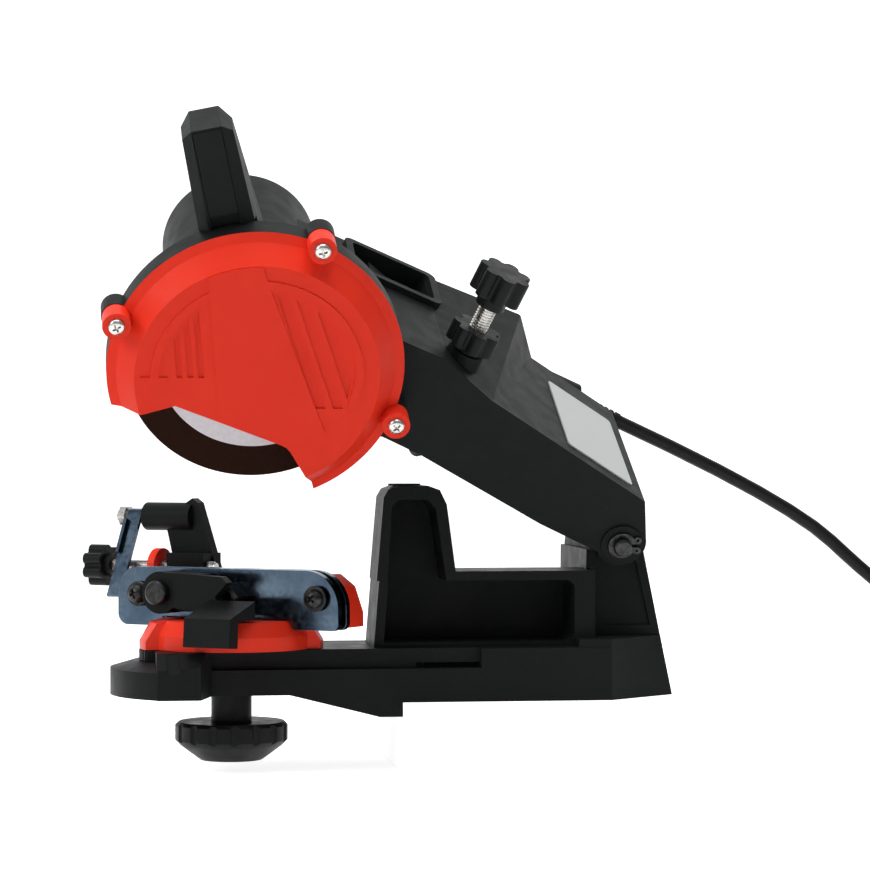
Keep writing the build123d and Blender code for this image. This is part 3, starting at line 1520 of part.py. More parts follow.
coil_turn = coil_outer - coil_skin - cord_radius
plug_start = Vector(
    coil_x + coil_turn * cos(radians(plug_angle)), coil_y + coil_turn * sin(radians(plug_angle)), 0
)
plug_way = Vector(sin(radians(plug_angle)), -cos(radians(plug_angle)), 0)
with BuildPart() as cord_coil:
    with BuildSketch():
        with Locations((coil_x, coil_y)):
            Circle(coil_outer)
            Circle(coil_inner, mode=Mode.SUBTRACT)
    extrude(amount=coil_high)
    with BuildSketch(Plane(origin=route[-1], z_dir=(1, 0, 0))):
        Circle(cord_radius)
    extrude(amount=coil_x - route[-1].X)
    plug_end = plug_start + Vector(0, 0, cord_radius + coil_skin)
    with BuildSketch(Plane(origin=plug_end, z_dir=plug_way)):
        Circle(cord_radius)
    extrude(amount=coil_lead)
cord_coil.part.label = "cord_coil"
export_step(cord_coil.part, "parts/cord_coil.step")

plug_plane = Plane(
    origin=plug_start + plug_way * coil_lead + Vector(0, 0, plug_thick / 2),
    x_dir=(-plug_way.Y, plug_way.X, 0),
    z_dir=plug_way,
)
with BuildPart() as plug:
    with BuildSketch(plug_plane):
        with Locations((0, cord_radius + coil_skin - plug_thick / 2)):
            Circle(cord_radius)
    with BuildSketch(plug_plane.offset(plug_sleeve)):
        SlotOverall(plug_width * 0.6, plug_thick * 0.8)
    loft(ruled=True)
    with BuildSketch(plug_plane.offset(plug_sleeve)):
        SlotOverall(plug_width, plug_thick)
    extrude(amount=plug_body)
    with BuildSketch(plug_plane.offset(plug_sleeve + plug_body)):
        with Locations((-pin_pitch / 2, 0), (pin_pitch / 2, 0)):
            Circle(2.4)
    extrude(amount=pin_long)
plug.part.label = "plug"
export_step(plug.part, "parts/plug.step")
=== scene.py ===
# %% [markdown]
# # A bench chain sharpener, dressed in Blender
# The machine's sizes come from a imported CAD model, which is loaded here as a fixed frame.
# Every CAD piece already stands in its place. Blender's work is the
# surface: rounded edges, threads, screw recesses, the cord, the materials, light and camera.

# %% Load the frame
import json
from math import cos, pi, radians, sin, tau

import bmesh
import bpy
from mathutils import Matrix, Vector


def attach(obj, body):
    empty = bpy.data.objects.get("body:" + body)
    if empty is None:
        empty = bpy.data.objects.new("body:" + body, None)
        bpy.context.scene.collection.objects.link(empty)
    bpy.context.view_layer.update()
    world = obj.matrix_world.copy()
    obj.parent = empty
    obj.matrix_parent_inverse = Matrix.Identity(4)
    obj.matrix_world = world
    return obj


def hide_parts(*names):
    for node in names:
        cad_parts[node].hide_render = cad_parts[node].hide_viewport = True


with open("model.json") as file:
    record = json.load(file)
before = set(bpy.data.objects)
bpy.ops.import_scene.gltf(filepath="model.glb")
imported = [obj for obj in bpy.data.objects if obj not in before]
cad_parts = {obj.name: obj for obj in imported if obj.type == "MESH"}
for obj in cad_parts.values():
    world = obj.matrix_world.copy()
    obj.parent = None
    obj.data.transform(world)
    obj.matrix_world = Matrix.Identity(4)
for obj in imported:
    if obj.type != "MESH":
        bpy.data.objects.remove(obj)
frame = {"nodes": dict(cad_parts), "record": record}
nodes = frame["nodes"]
bodies = frame["record"]["behaviour"]["bodies"]
body_of_node = {node: body for body, members in bodies.items() for node in members}
slot_of_node = {row["node"]: row["material_slot"] for row in frame["record"]["subparts"]}
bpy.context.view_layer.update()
mm = 0.001

# %% [markdown]
# ## Camera
# The camera stands level, about 1.3 m away and slightly left of square, with a long lens. A long
# lens far away keeps edges that are parallel on the machine nearly parallel in the picture.

# %% Camera
camera_data = bpy.data.cameras.new("camera")
camera_data.sensor_width = 36.0
camera_data.lens = 126.2
camera = bpy.data.objects.new("camera", camera_data)
bpy.context.scene.collection.objects.link(camera)
camera.location = (-0.2123, -1.3363, 0.1136)
camera.rotation_euler = (radians(90), 0, radians(-7.3))
bpy.context.scene.camera = camera
print("lens", camera_data.lens)

# %% [markdown]
# ## Helpers for materials
# A moulded or cast surface is never one flat colour. Each material below starts from one shader
# and adds noise, read in the piece's own metres, so the grain has a real size on every piece:
# a scale of 1000 gives grains about a millimetre wide.

# %% Material helpers


def new_surface(name, colour, roughness, metallic=0.0):
    material = bpy.data.materials.new(name)
    material.use_nodes = True
    shader = material.node_tree.nodes["Principled BSDF"]
    shader.inputs["Base Color"].default_value = (*colour, 1)
    shader.inputs["Roughness"].default_value = roughness
    shader.inputs["Metallic"].default_value = metallic
    return material


def shader_of(material):
    return material.node_tree.nodes["Principled BSDF"]


def add_noise(material, scale, detail=3.0, stretch=(1, 1, 1), turn=(0, 0, 0)):
    tree = material.node_tree
    place = tree.nodes.new("ShaderNodeTexCoord")
    mapping = tree.nodes.new("ShaderNodeMapping")
    mapping.inputs["Scale"].default_value = stretch
    mapping.inputs["Rotation"].default_value = turn
    noise = tree.nodes.new("ShaderNodeTexNoise")
    noise.inputs["Scale"].default_value = scale
    noise.inputs["Detail"].default_value = detail
    tree.links.new(place.outputs["Object"], mapping.inputs["Vector"])
    tree.links.new(mapping.outputs["Vector"], noise.inputs["Vector"])
    return noise.outputs["Fac"]


def vary_colour(material, height, dark, light, start=0.35, end=0.65):
    tree = material.node_tree
    ramp = tree.nodes.new("ShaderNodeValToRGB")
    ramp.color_ramp.elements[0].position = start
    ramp.color_ramp.elements[0].color = (*dark, 1)
    ramp.color_ramp.elements[1].position = end
    ramp.color_ramp.elements[1].color = (*light, 1)
    tree.links.new(height, ramp.inputs["Fac"])
    tree.links.new(ramp.outputs["Color"], shader_of(material).inputs["Base Color"])


def vary_roughness(material, height, low, high, start=0.35, end=0.65):
    tree = material.node_tree
    spread = tree.nodes.new("ShaderNodeMapRange")
    spread.inputs["From Min"].default_value = start
    spread.inputs["From Max"].default_value = end
    spread.inputs["To Min"].default_value = low
    spread.inputs["To Max"].default_value = high
    tree.links.new(height, spread.inputs["Value"])
    tree.links.new(spread.outputs["Result"], shader_of(material).inputs["Roughness"])


def roughen(material, height, depth, strength=1.0):
    tree = material.node_tree
    bump = tree.nodes.new("ShaderNodeBump")
    bump.inputs["Distance"].default_value = depth
    bump.inputs["Strength"].default_value = strength
    before = shader_of(material).inputs["Normal"].links
    if before:
        tree.links.new(before[0].from_socket, bump.inputs["Normal"])
    tree.links.new(height, bump.inputs["Height"])
    tree.links.new(bump.outputs["Normal"], shader_of(material).inputs["Normal"])


# %% [markdown]
# ## Black plastic and castings
# The arm, housings and base are glass-filled nylon with a spark-eroded grain: a fine, even
# bump that scatters light, over a colour just above black. The grain catches the light from
# above, which is why the sloping top of the arm looks grey and its side nearly black.

# %% Black surfaces
black_plastic = new_surface("black_plastic", (0.0085, 0.0098, 0.0100), 0.48)
vary_colour(
    black_plastic,
    add_noise(black_plastic, 28, 2.0),
    (0.0080, 0.0093, 0.0095),
    (0.0090, 0.0103, 0.0105),
)
vary_roughness(black_plastic, add_noise(black_plastic, 120), 0.44, 0.52)
shader_of(black_plastic).inputs["Specular IOR Level"].default_value = 0.07
roughen(black_plastic, add_noise(black_plastic, 2600, 2.0), 0.00012, 0.45)

black_casting = new_surface("black_casting", (0.0085, 0.0095, 0.0098), 0.46)
vary_colour(
    black_casting,
    add_noise(black_casting, 22, 3.0),
    (0.0078, 0.0088, 0.0090),
    (0.0093, 0.0103, 0.0106),
)
vary_roughness(black_casting, add_noise(black_casting, 90), 0.40, 0.50)
shader_of(black_casting).inputs["Specular IOR Level"].default_value = 0.07
roughen(black_casting, add_noise(black_casting, 1800, 3.0), 0.00015, 0.5)

knob_plastic = new_surface("knob_plastic", (0.0075, 0.0082, 0.0086), 0.38)
shader_of(knob_plastic).inputs["Specular IOR Level"].default_value = 0.1
vary_roughness(knob_plastic, add_noise(knob_plastic, 160), 0.3, 0.46)
roughen(knob_plastic, add_noise(knob_plastic, 1400, 2.0), 0.0001, 0.35)

cord_sheath = new_surface("cord_sheath", (0.0075, 0.0078, 0.0082), 0.42)
shader_of(cord_sheath).inputs["Specular IOR Level"].default_value = 0.15
vary_roughness(cord_sheath, add_noise(cord_sheath, 200), 0.34, 0.5)
roughen(cord_sheath, add_noise(cord_sheath, 900, 2.0), 0.00008, 0.4)

# %% [markdown]
# ## Red guard and turntable
# The guard is satin ABS, the vise casting is painted. Both are an orange red. Faint patches
# keep a large curved face from looking like paper, and a thin coat gives paint its second,
# sharper highlight.

# %% Red surfaces
red_plastic = new_surface("red_plastic", (0.74, 0.032, 0.013), 0.42)
vary_colour(red_plastic, add_noise(red_plastic, 35, 2.0), (0.73, 0.031, 0.0125), (0.75, 0.033, 0.0135))
shader_of(red_plastic).inputs["Specular IOR Level"].default_value = 0.12
vary_roughness(red_plastic, add_noise(red_plastic, 150), 0.36, 0.48)
roughen(red_plastic, add_noise(red_plastic, 1500, 2.0), 0.00006, 0.3)

red_paint = new_surface("red_paint", (0.80, 0.035, 0.013), 0.4)
vary_colour(red_paint, add_noise(red_paint, 40, 3.0), (0.79, 0.034, 0.0125), (0.81, 0.036, 0.0135))
roughen(red_paint, add_noise(red_paint, 700, 3.0), 0.00012, 0.35)
shader_of(red_paint).inputs["Specular IOR Level"].default_value = 0.12
shader_of(red_paint).inputs["Coat Weight"].default_value = 0.08
shader_of(red_paint).inputs["Coat Roughness"].default_value = 0.18

# %% [markdown]
# ## Metals
# The jaw plates are zinc plated: nearly a mirror, but clouded by the bath in blue-grey blotches
# that the surrounding light breaks up on. Screws and the threaded rod are bright zinc, the
# hinge pin and the vise's fasteners are blackened.

# %% Metal surfaces
zinc_plate = new_surface("zinc_plate", (0.07, 0.10, 0.14), 0.2, 1.0)
clouds = add_noise(zinc_plate, 38, 3.0, stretch=(1, 1, 1.6))
vary_colour(zinc_plate, clouds, (0.040, 0.064, 0.098), (0.10, 0.138, 0.182), 0.3, 0.7)
vary_roughness(zinc_plate, add_noise(zinc_plate, 420, 5.0), 0.16, 0.26)
roughen(zinc_plate, add_noise(zinc_plate, 60, 2.0), 0.00012, 0.08)

bright_steel = new_surface("bright_steel", (0.52, 0.51, 0.49), 0.28, 1.0)
vary_roughness(bright_steel, add_noise(bright_steel, 600, 4.0), 0.22, 0.34)

dark_steel = new_surface("dark_steel", (0.055, 0.055, 0.056), 0.36, 0.9)
vary_colour(dark_steel, add_noise(dark_steel, 500, 4.0), (0.020, 0.021, 0.022), (0.045, 0.044, 0.043))
vary_roughness(dark_steel, add_noise(dark_steel, 380, 3.0), 0.28, 0.48)

core_steel = new_surface("core_steel", (0.40, 0.38, 0.36), 0.4, 1.0)
vary_roughness(core_steel, add_noise(core_steel, 300), 0.32, 0.5)

# %% [markdown]
# ## Wheel, paper and label
# The wheel is dark brown corundum in resin: grit a few tenths of a millimetre across, with a few
# lighter grains. The paper discs and the foil label are bare.

# %% Wheel, paper and label surfaces
abrasive = new_surface("abrasive", (0.022, 0.009, 0.006), 0.85)
grit = add_noise(abrasive, 3200, 2.0)
vary_colour(abrasive, grit, (0.014, 0.0045, 0.0025), (0.030, 0.011, 0.006), 0.42, 0.72)
shader_of(abrasive).inputs["Specular IOR Level"].default_value = 0.08
roughen(abrasive, grit, 0.0002, 0.7)

paper = new_surface("paper", (0.74, 0.73, 0.77), 0.8)
vary_colour(paper, add_noise(paper, 600, 5.0), (0.71, 0.70, 0.74), (0.77, 0.76, 0.80))
roughen(paper, add_noise(paper, 2500, 3.0), 0.00006, 0.4)

foil = new_surface("foil", (0.48, 0.50, 0.50), 0.42, 0.35)
vary_colour(foil, add_noise(foil, 900, 3.0, stretch=(1, 8, 8)), (0.40, 0.415, 0.41), (0.45, 0.465, 0.46))
roughen(foil, add_noise(foil, 700, 2.0), 0.00005, 0.3)

materials = {
    "black_casting": black_casting,
    "black_plastic": black_plastic,
    "knob_plastic": knob_plastic,
    "red_plastic": red_plastic,
    "red_casting": red_paint,
    "zinc_plate": zinc_plate,
    "bright_steel": bright_steel,
    "dark_steel": dark_steel,
    "motor_core": core_steel,
    "abrasive": abrasive,
    "paper": paper,
    "label": foil,
    "cord_rubber": cord_sheath,
}
for node, piece in nodes.items():
    piece.data.materials.clear()
    piece.data.materials.append(materials[slot_of_node[node]])
print("materials", len(materials))

# %% [markdown]
# ## Rounded edges
# No moulded or cast edge is knife sharp, and the thin highlight along it is much of what makes a
# black machine readable. A CAD mesh is loose triangles, so each piece is a merged copy: doubles
# are welded, the flat triangles are dissolved into whole faces, and only the sharp edges get a
# bevel of the radius that the mould would have. Smooth shading would bend the light over a large
# flat face towards its narrow bevels, so the normals are weighted by area: large faces stay flat
# and the bevels take the whole turn.

# %% Round the edges of the moulded pieces
sharp = radians(24)


def weigh_normals(piece):
    """Lets the large faces decide the normals, and keeps the result in a plain mesh."""
    weigh = piece.modifiers.new("weighted_normals", "WEIGHTED_NORMAL")
    weigh.keep_sharp = True
    weigh.weight = 100
    evaluated = piece.evaluated_get(bpy.context.evaluated_depsgraph_get())
    weighed = bpy.data.meshes.new_from_object(evaluated)
    piece.modifiers.clear()
    piece.data = weighed


def rounded_copy(node, radius, segments=2, plain_side=None):
    """A merged copy of a CAD node with its sharp edges rounded.

    The edges of the outermost face towards plain_side stay sharp, where a frame round a panel
    is too narrow to carry a bevel.
    """
    shape = bmesh.new()
    shape.from_mesh(nodes[node].data)
    bmesh.ops.remove_doubles(shape, verts=shape.verts, dist=0.00001)
    bmesh.ops.dissolve_limit(
        shape, angle_limit=radians(0.6), verts=shape.verts, edges=shape.edges, delimit=set()
    )
    edges = [edge for edge in shape.edges if edge.is_manifold and edge.calc_face_angle(0) > sharp]
    if plain_side:
        reach = max(vert.co.dot(plain_side) for vert in shape.verts) - 0.05 * mm
        edges = [edge for edge in edges if any(vert.co.dot(plain_side) < reach for vert in edge.verts)]
    bmesh.ops.bevel(
        shape,
        geom=edges,
        offset=radius * mm,
        offset_type="OFFSET",
        segments=segments,
        profile=0.5,
        affect="EDGES",
        clamp_overlap=True,
        material=-1,
    )
    mesh = bpy.data.meshes.new(node + "_rounded")
    shape.to_mesh(mesh)
    shape.free()
    mesh.materials.append(materials[slot_of_node[node]])
    mesh.shade_smooth()
    mesh.set_sharp_from_angle(angle=radians(32))
    piece = bpy.data.objects.new(node + "_finished", mesh)
    bpy.context.scene.collection.objects.link(piece)
    weigh_normals(piece)
    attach(piece, body_of_node[node])
    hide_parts(node)
    return piece


edge_radius = {
    "base_casting": 0.9,
    "arm_housing": 0.9,
    "wheel_housing": 0.5,
    "wheel_guard": 0.7,
    "motor_housing": 0.6,
    "grip_shell": 0.5,
    "grip_panel": 0.4,
    "vise_body": 0.7,
    "clamp_lever": 0.7,
    "stop_bracket": 0.7,
    "stop_knob": 2.2,
    "stop_lock_knob": 1.6,
    "adjust_knob": 1.0,
    "table_knob": 1.2,
    "front_jaw": 0.25,
    "rear_jaw": 0.25,
    "guide_block": 0.4,
    "switch_rocker": 0.4,
    "switch_frame": 0.4,
    "angle_ring": 0.2,
    "plug": 0.8,
    "hinge_pin": 0.2,
    "clamp_stud": 0.3,
    "pawl": 0.2,
}
lean = radians(27)
head_front = Vector((0, -cos(lean), -sin(lean)))
for node, radius in edge_radius.items():
    piece = rounded_copy(node, radius, plain_side=head_front if node == "grip_shell" else None)
    print(node, "faces", len(piece.data.polygons))

# %% [markdown]
# ## Planes of the machine
# The wheel, guard and hinge pin share one direction that leans back by 27 degrees, and the vise
# is turned by 35 degrees. Small pieces are modelled upright at the origin and then set into these
# planes by one matrix each, which is written into their mesh.

# %% Planes
head_matrix = Matrix((
    (1, 0, 0, -0.126),
    (0, -sin(lean), -cos(lean), -0.075),
    (0, cos(lean), -sin(lean), 0.1455),
    (0, 0, 0, 1),
))
vise_angle = radians(-35)
vise_matrix = Matrix.Translation((-0.1328, -0.030, 0)) @ Matrix.Rotation(vise_angle, 4, "Z")
jaw_matrix = vise_matrix @ Matrix.Rotation(radians(90), 4, "X")  # x along the jaws, y up, z to the front


def finished(shape, name, body, slot, matrix=Matrix.Identity(4), sharp_angle=32):
    """Writes a bmesh to an object that rides on a body."""
    shape.transform(matrix)
    bmesh.ops.recalc_face_normals(shape, faces=shape.faces)
    mesh = bpy.data.meshes.new(name)
    shape.to_mesh(mesh)
    shape.free()
    mesh.materials.append(materials[slot])
    mesh.shade_smooth()
    mesh.set_sharp_from_angle(angle=radians(sharp_angle))
    piece = bpy.data.objects.new(name, mesh)
    bpy.context.scene.collection.objects.link(piece)
    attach(piece, body)
    return piece


# %% [markdown]
# ## Cross-head screws
# Pan-head screws hold the guard and the jaw plates. A head is a short profile spun about its
# axis. The recess is cut by a cross of two tapered bars with a Boolean modifier, which is applied
# so that the piece is a plain mesh.

# %% Screws


def spun(profile, steps=40):
    """A solid of revolution about z from (radius, height) points that start and end on the axis."""
    shape = bmesh.new()
    points = [shape.verts.new((r * mm, 0, z * mm)) for r, z in profile]
    chain = [shape.edges.new(pair) for pair in zip(points, points[1:])]
    bmesh.ops.spin(
        shape,
        geom=points + chain,
        cent=(0, 0, 0),
        axis=(0, 0, 1),
        angle=tau,
        steps=steps,
        use_merge=True,
        use_duplicate=False,
    )
    bmesh.ops.remove_doubles(shape, verts=shape.verts, dist=0.000001)
    return shape


def cross_cutter(reach, width, top, bottom):
    """Two crossed bars that narrow towards the bottom."""
    cutter = bmesh.new()
    for quarter in (0, 1):
        bar = bmesh.ops.create_cube(cutter, size=1.0)["verts"]
        bmesh.ops.scale(cutter, verts=bar, vec=(2 * reach * mm, width * mm, (top - bottom) * mm))
        bmesh.ops.translate(cutter, verts=bar, vec=(0, 0, (top + bottom) / 2 * mm))
        low = [v for v in bar if v.co.z < (top + bottom) / 2 * mm]
        bmesh.ops.scale(cutter, verts=low, vec=(0.45, 0.6, 1))
        bmesh.ops.rotate(cutter, verts=bar, cent=(0, 0, 0), matrix=Matrix.Rotation(quarter * pi / 2, 3, "Z"))
    return cutter


def cut_cross(piece, matrix, reach, width, top, bottom):
    cutter = cross_cutter(reach, width, top, bottom)
    cutter.transform(matrix)
    mesh = bpy.data.meshes.new("cutter")
    cutter.to_mesh(mesh)
    cutter.free()
    tool = bpy.data.objects.new("cutter", mesh)
    bpy.context.scene.collection.objects.link(tool)
    cut = piece.modifiers.new("recess", "BOOLEAN")
    cut.operation = "DIFFERENCE"
    cut.solver = "EXACT"
    cut.use_self = True
    cut.object = tool
    evaluated = piece.evaluated_get(bpy.context.evaluated_depsgraph_get())
    result = bpy.data.meshes.new_from_object(evaluated)
    piece.modifiers.clear()
    piece.data = result
    bpy.data.objects.remove(tool)
    return piece


def pan_screw(name, node, matrix, turn, head, thick, shank, long, slot):
    """A pan head with a cross recess, its shank behind it."""
    shape = spun([
        (0, thick),
        (head * 0.35, thick * 0.97),
        (head * 0.66, thick * 0.84),
        (head * 0.88, thick * 0.58),
        (head * 0.98, thick * 0.26),
        (head, 0.1),
        (head * 0.97, 0),
        (shank, 0),
        (shank, -long),
        (0, -long),
    ])
    place = matrix @ Matrix.Rotation(turn, 4, "Z")
    piece = finished(shape, name, body_of_node[node], slot, place)
    cut_cross(piece, place, head * 0.62, head * 0.26, thick + 0.3, thick - 1.5)
    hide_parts(node)
    return piece


lug_circle, guard_face = 62.0, 20.0
for number, (angle, turn) in enumerate(((158.0, 0.5), (66.8, 0.25), (-20.3, 0.75)), 1):
    place = Vector((lug_circle * cos(radians(angle)), lug_circle * sin(radians(angle)), guard_face)) * mm
    pan_screw(
        f"guard_screw_{number}_head",
        f"guard_screw_{number}",
        head_matrix @ Matrix.Translation(place),
        turn,
        head=3.5,
        thick=2.2,
        shank=1.9,
        long=17.6,
        slot="bright_steel",
    )

washer_face = 7.6  # front of the washers from the middle of the jaws' slot
for side, x, turn in (("left", -43.0, 0.3), ("right", 45.2, 0.9)):
    piece = pan_screw(
        f"jaw_screw_{side}",
        f"jaw_bolt_{side}",
        jaw_matrix @ Matrix.Translation(Vector((x, 44.9, washer_face)) * mm),
        turn,
        head=4.2,
        thick=3.4,
        shank=2.5,
        long=20.9,
        slot="dark_steel",
    )
    shape = spun([(2.6, -1), (5.2, -1), (5.4, -0.8), (5.4, -0.2), (5.2, 0), (2.6, 0), (2.6, -1)])
    finished(
        shape,
        f"jaw_washer_{side}",
        body_of_node[f"jaw_bolt_{side}"],
        "dark_steel",
        jaw_matrix @ Matrix.Translation(Vector((x, 44.9, washer_face)) * mm),
    )
print("screws made")

# %% [markdown]
# ## Step of the switch shelf
# The shelf that carries the switch runs on past the bend of the arm and ends in a step that
# slants across it. The CAD solid has no such step, so it is made here, as a ruled wedge: one
# outline on the near side of the arm, another on the far side, and straight lines between them,
# cut into slices so that the twisted top stays smooth.

# %% Step of the shelf
near_outline = [(80.3, -1.9), (101.0, -21.0), (102.4, -22.4), (99.6, -21.6)]
far_outline = [(80.0, -1.6), (125.2, -20.6), (131.8, -42.2), (100.2, -22.2)]
near_depth, far_depth = 2.3, 88.7
slices = 14
shape = bmesh.new()
loops = []
for index in range(slices + 1):
    share = index / slices
    depth = near_depth + (far_depth - near_depth) * share
    loops.append([
        shape.verts.new(Vector((a[0] + (b[0] - a[0]) * share, a[1] + (b[1] - a[1]) * share, -depth)) * mm)
        for a, b in zip(near_outline, far_outline)
    ])
for before, after in zip(loops, loops[1:]):
    for corner in range(4):
        beside = (corner + 1) % 4
        shape.faces.new((before[corner], before[beside], after[beside], after[corner]))
shape.faces.new(loops[0])
shape.faces.new(loops[-1])
long_edges = [
    edge
    for edge in shape.edges
    if all(any(vert is loop[1] for loop in loops) for vert in edge.verts)
]
bmesh.ops.bevel(
    shape,
    geom=long_edges,
    offset=edge_radius["arm_housing"] * mm,
    segments=2,
    profile=0.5,
    affect="EDGES",
    clamp_overlap=True,
)
step = finished(shape, "shelf_step", "arm", "black_plastic", head_matrix)
weigh_normals(step)
print("step faces", len(step.data.polygons))

# %% [markdown]
# ## Threads
# A thread is a ridge that climbs one pitch for each turn. A small triangle is spun about the rod's
# axis while it rises, which bmesh's spin does in one call, and the ridge lies on a plain core.

# %% Threaded rods


def threaded_rod(name, node, matrix, radius, pitch, low, high, slot):
    ridge = 0.62 * pitch
    shape = spun([(0, low), (radius - ridge, low), (radius - ridge, high), (0, high)], steps=32)
    turns = int((high - low - 2 * pitch) / pitch)
    start = low + pitch
    corners = [
        shape.verts.new(((radius - ridge - 0.1) * mm, 0, (start - 0.47 * pitch) * mm)),
        shape.verts.new((radius * mm, 0, (start - 0.06 * pitch) * mm)),
        shape.verts.new((radius * mm, 0, (start + 0.06 * pitch) * mm)),
        shape.verts.new(((radius - ridge - 0.1) * mm, 0, (start + 0.47 * pitch) * mm)),
    ]
    cap = shape.faces.new(corners)
    steps = 24
    result = bmesh.ops.spin(
        shape,
        geom=[cap],
        cent=(0, 0, 0),
        axis=(0, 0, 1),
        dvec=(0, 0, pitch * mm / steps),
        angle=tau * turns,
        steps=steps * turns,
        use_merge=False,
        use_duplicate=False,
    )
    piece = finished(shape, name, body_of_node[node], slot, matrix, sharp_angle=40)
    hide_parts(node)
    return piece


stop_lean = radians(21.8)
stop_matrix = (
    head_matrix
    @ Matrix.Translation(Vector((71.4, -54.1, -18.0)) * mm)
    @ Matrix.Rotation(stop_lean, 4, (0, 0, -1))
    @ Matrix.Rotation(radians(-90), 4, "X")
)  # z up along the depth stop
threaded_rod("stop_thread", "stop_screw", stop_matrix, 4.0, 1.25, 5.1, 92.1, "bright_steel")

adjuster_matrix = (
    vise_matrix
    @ Matrix.Translation(Vector((0, 18.5, 55.8)) * mm)
    @ Matrix.Rotation(radians(90), 4, "Y")
)  # z along the jaws
threaded_rod("adjuster_thread", "adjust_screw", adjuster_matrix, 2.5, 0.8, -81.5, -19.0, "bright_steel")
print("stop direction", (stop_matrix.to_3x3() @ Vector((0, 0, 1)))[:])

# %% [markdown]
# ## Cord
# A 6.2 mm rubber lead leaves the arm's gland, falls behind the machine and is wound away in a
# round coil, out of sight, with its plug beside it. It is one smooth NURBS spline: the route's
# points and then the turns of the coil, in four layers that wind in and out.

# %% Cord
cord_radius = 3.1
cord_route = [
    (49.0, 44.6, 120.0),
    (134.7, 63.7, 82.6),
    (178.0, 71.5, 44.0),
    (203.0, 72.4, 28.5),
    (225.0, 71.2, 22.0),
    (241.5, 71.2, 22.0),
]
coil_centre = Vector((265.5, 30.0, 0.0))
outer_turn, inner_turn = 41.2, 28.8
layers = (22.0, 15.8, 9.6, 3.4)
turns_each = 2.0
last_turns = 1.0 + 150 / 360  # the bottom layer stops where the lead to the plug goes off
steps_a_turn = 16
swell = 1 / cos(pi / steps_a_turn)  # the spline runs just inside its points


def coil_point(turn):
    """A point of the coil after some turns, counted clockwise from the back."""
    layer = min(int(turn // turns_each), len(layers) - 1)
    inside = turn - layer * turns_each
    span = last_turns if layer == len(layers) - 1 else turns_each
    ends = (outer_turn, inner_turn) if layer % 2 == 0 else (inner_turn, outer_turn)
    radius = (ends[0] + (ends[1] - ends[0]) * inside / span) * swell
    height = layers[layer]
    if layer < len(layers) - 1 and inside > turns_each - 0.25:
        height += (layers[layer + 1] - height) * (inside - turns_each + 0.25) / 0.25
    around = radians(90 - 360 * turn)
    return coil_centre + Vector((radius * cos(around), radius * sin(around), height))


all_turns = turns_each * (len(layers) - 1) + last_turns
coil_steps = int(all_turns * steps_a_turn)
plug_angle = radians(-60)
lead_start = coil_centre + Vector(
    (outer_turn * cos(plug_angle), outer_turn * sin(plug_angle), layers[-1])
)
lead_way = Vector((sin(plug_angle), -cos(plug_angle), 0))
route = [Vector(point) for point in cord_route]
route += [coil_point(step / steps_a_turn) for step in range(1, coil_steps + 1)]
route += [lead_start, lead_start + lead_way * 15, lead_start + lead_way * 30]

curve = bpy.data.curves.new("mains_cord", "CURVE")
curve.dimensions = "3D"
spline = curve.splines.new("NURBS")
spline.points.add(len(route) - 1)
for target, point in zip(spline.points, route):
    target.co = (*(point * mm), 1)
spline.order_u = 3
spline.use_endpoint_u = True
curve.resolution_u = 6
curve.bevel_depth = cord_radius * mm
curve.bevel_resolution = 5
curve.use_fill_caps = True
curve.materials.append(cord_sheath)
cord = bpy.data.objects.new("mains_cord", curve)
bpy.context.scene.collection.objects.link(cord)
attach(cord, "base")
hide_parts("power_cord", "cord_coil")

# %% [markdown]
# The bushing that keeps the cord from kinking at the arm is a slim cone with rings, so that it
# can bend. The plug's two pins are bright metal.

# %% Cord bushing and plug pins
cord_way = (route[1] - route[0]).normalized()
across = cord_way.cross(Vector((0, 0, 1))).normalized()
boot_matrix = Matrix.Identity(4)
for column, direction in enumerate((across, cord_way.cross(across), cord_way)):
    for row in range(3):
        boot_matrix[row][column] = direction[row]
boot_length, boot_large, boot_small = 24.0, 4.4, 3.6
boot_matrix.translation = (route[0] - cord_way * (boot_length + 0.1)) * mm
boot_profile = [(0, 0), (boot_large, 0), (boot_large, 2.2)]
rings = 7
for ring in range(rings):
    low = 3.0 + ring * (boot_length - 3.4) / rings
    size = boot_large + (boot_small - boot_large) * low / boot_length
    boot_profile += [(size - 0.75, low), (size - 0.75, low + 0.9), (size, low + 1.3), (size - 0.1, low + 2.5)]
boot_profile += [(boot_small, boot_length), (0, boot_length)]
boot = finished(spun(boot_profile), "cord_bushing", "arm", "cord_rubber", boot_matrix, sharp_angle=40)
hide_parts("cord_boot")

plug_matrix = Matrix.Identity(4)
for column, direction in enumerate((Vector((-lead_way.y, lead_way.x, 0)), Vector((0, 0, 1)), lead_way)):
    for row in range(3):
        plug_matrix[row][column] = direction[row]
plug_matrix.translation = (lead_start + lead_way * 30 + Vector((0, 0, 8.5 - layers[-1]))) * mm
for side in (-1, 1):
    place = plug_matrix @ Matrix.Translation(Vector((side * 9.5, 0, 55.9)) * mm)
    shape = spun([(0, 0), (2.45, 0), (2.45, 17.6), (2.2, 18.5), (1.6, 19.1), (0, 19.25)], steps=28)
    name = "plug_pin_left" if side < 0 else "plug_pin_right"
    finished(shape, name, "base", "bright_steel", place)

print("cord points", len(route), "turns", round(all_turns, 3))

# %% [markdown]
# ## Bench, floor and backdrop
# The foot stands on a white bench whose edge lies against the lip of the casting, so the vise
# hangs free beside it. Bench, floor and backdrop are white to the camera and in reflections,
# while their matt part still takes the machine's shadow.

# %% Bench, floor and backdrop


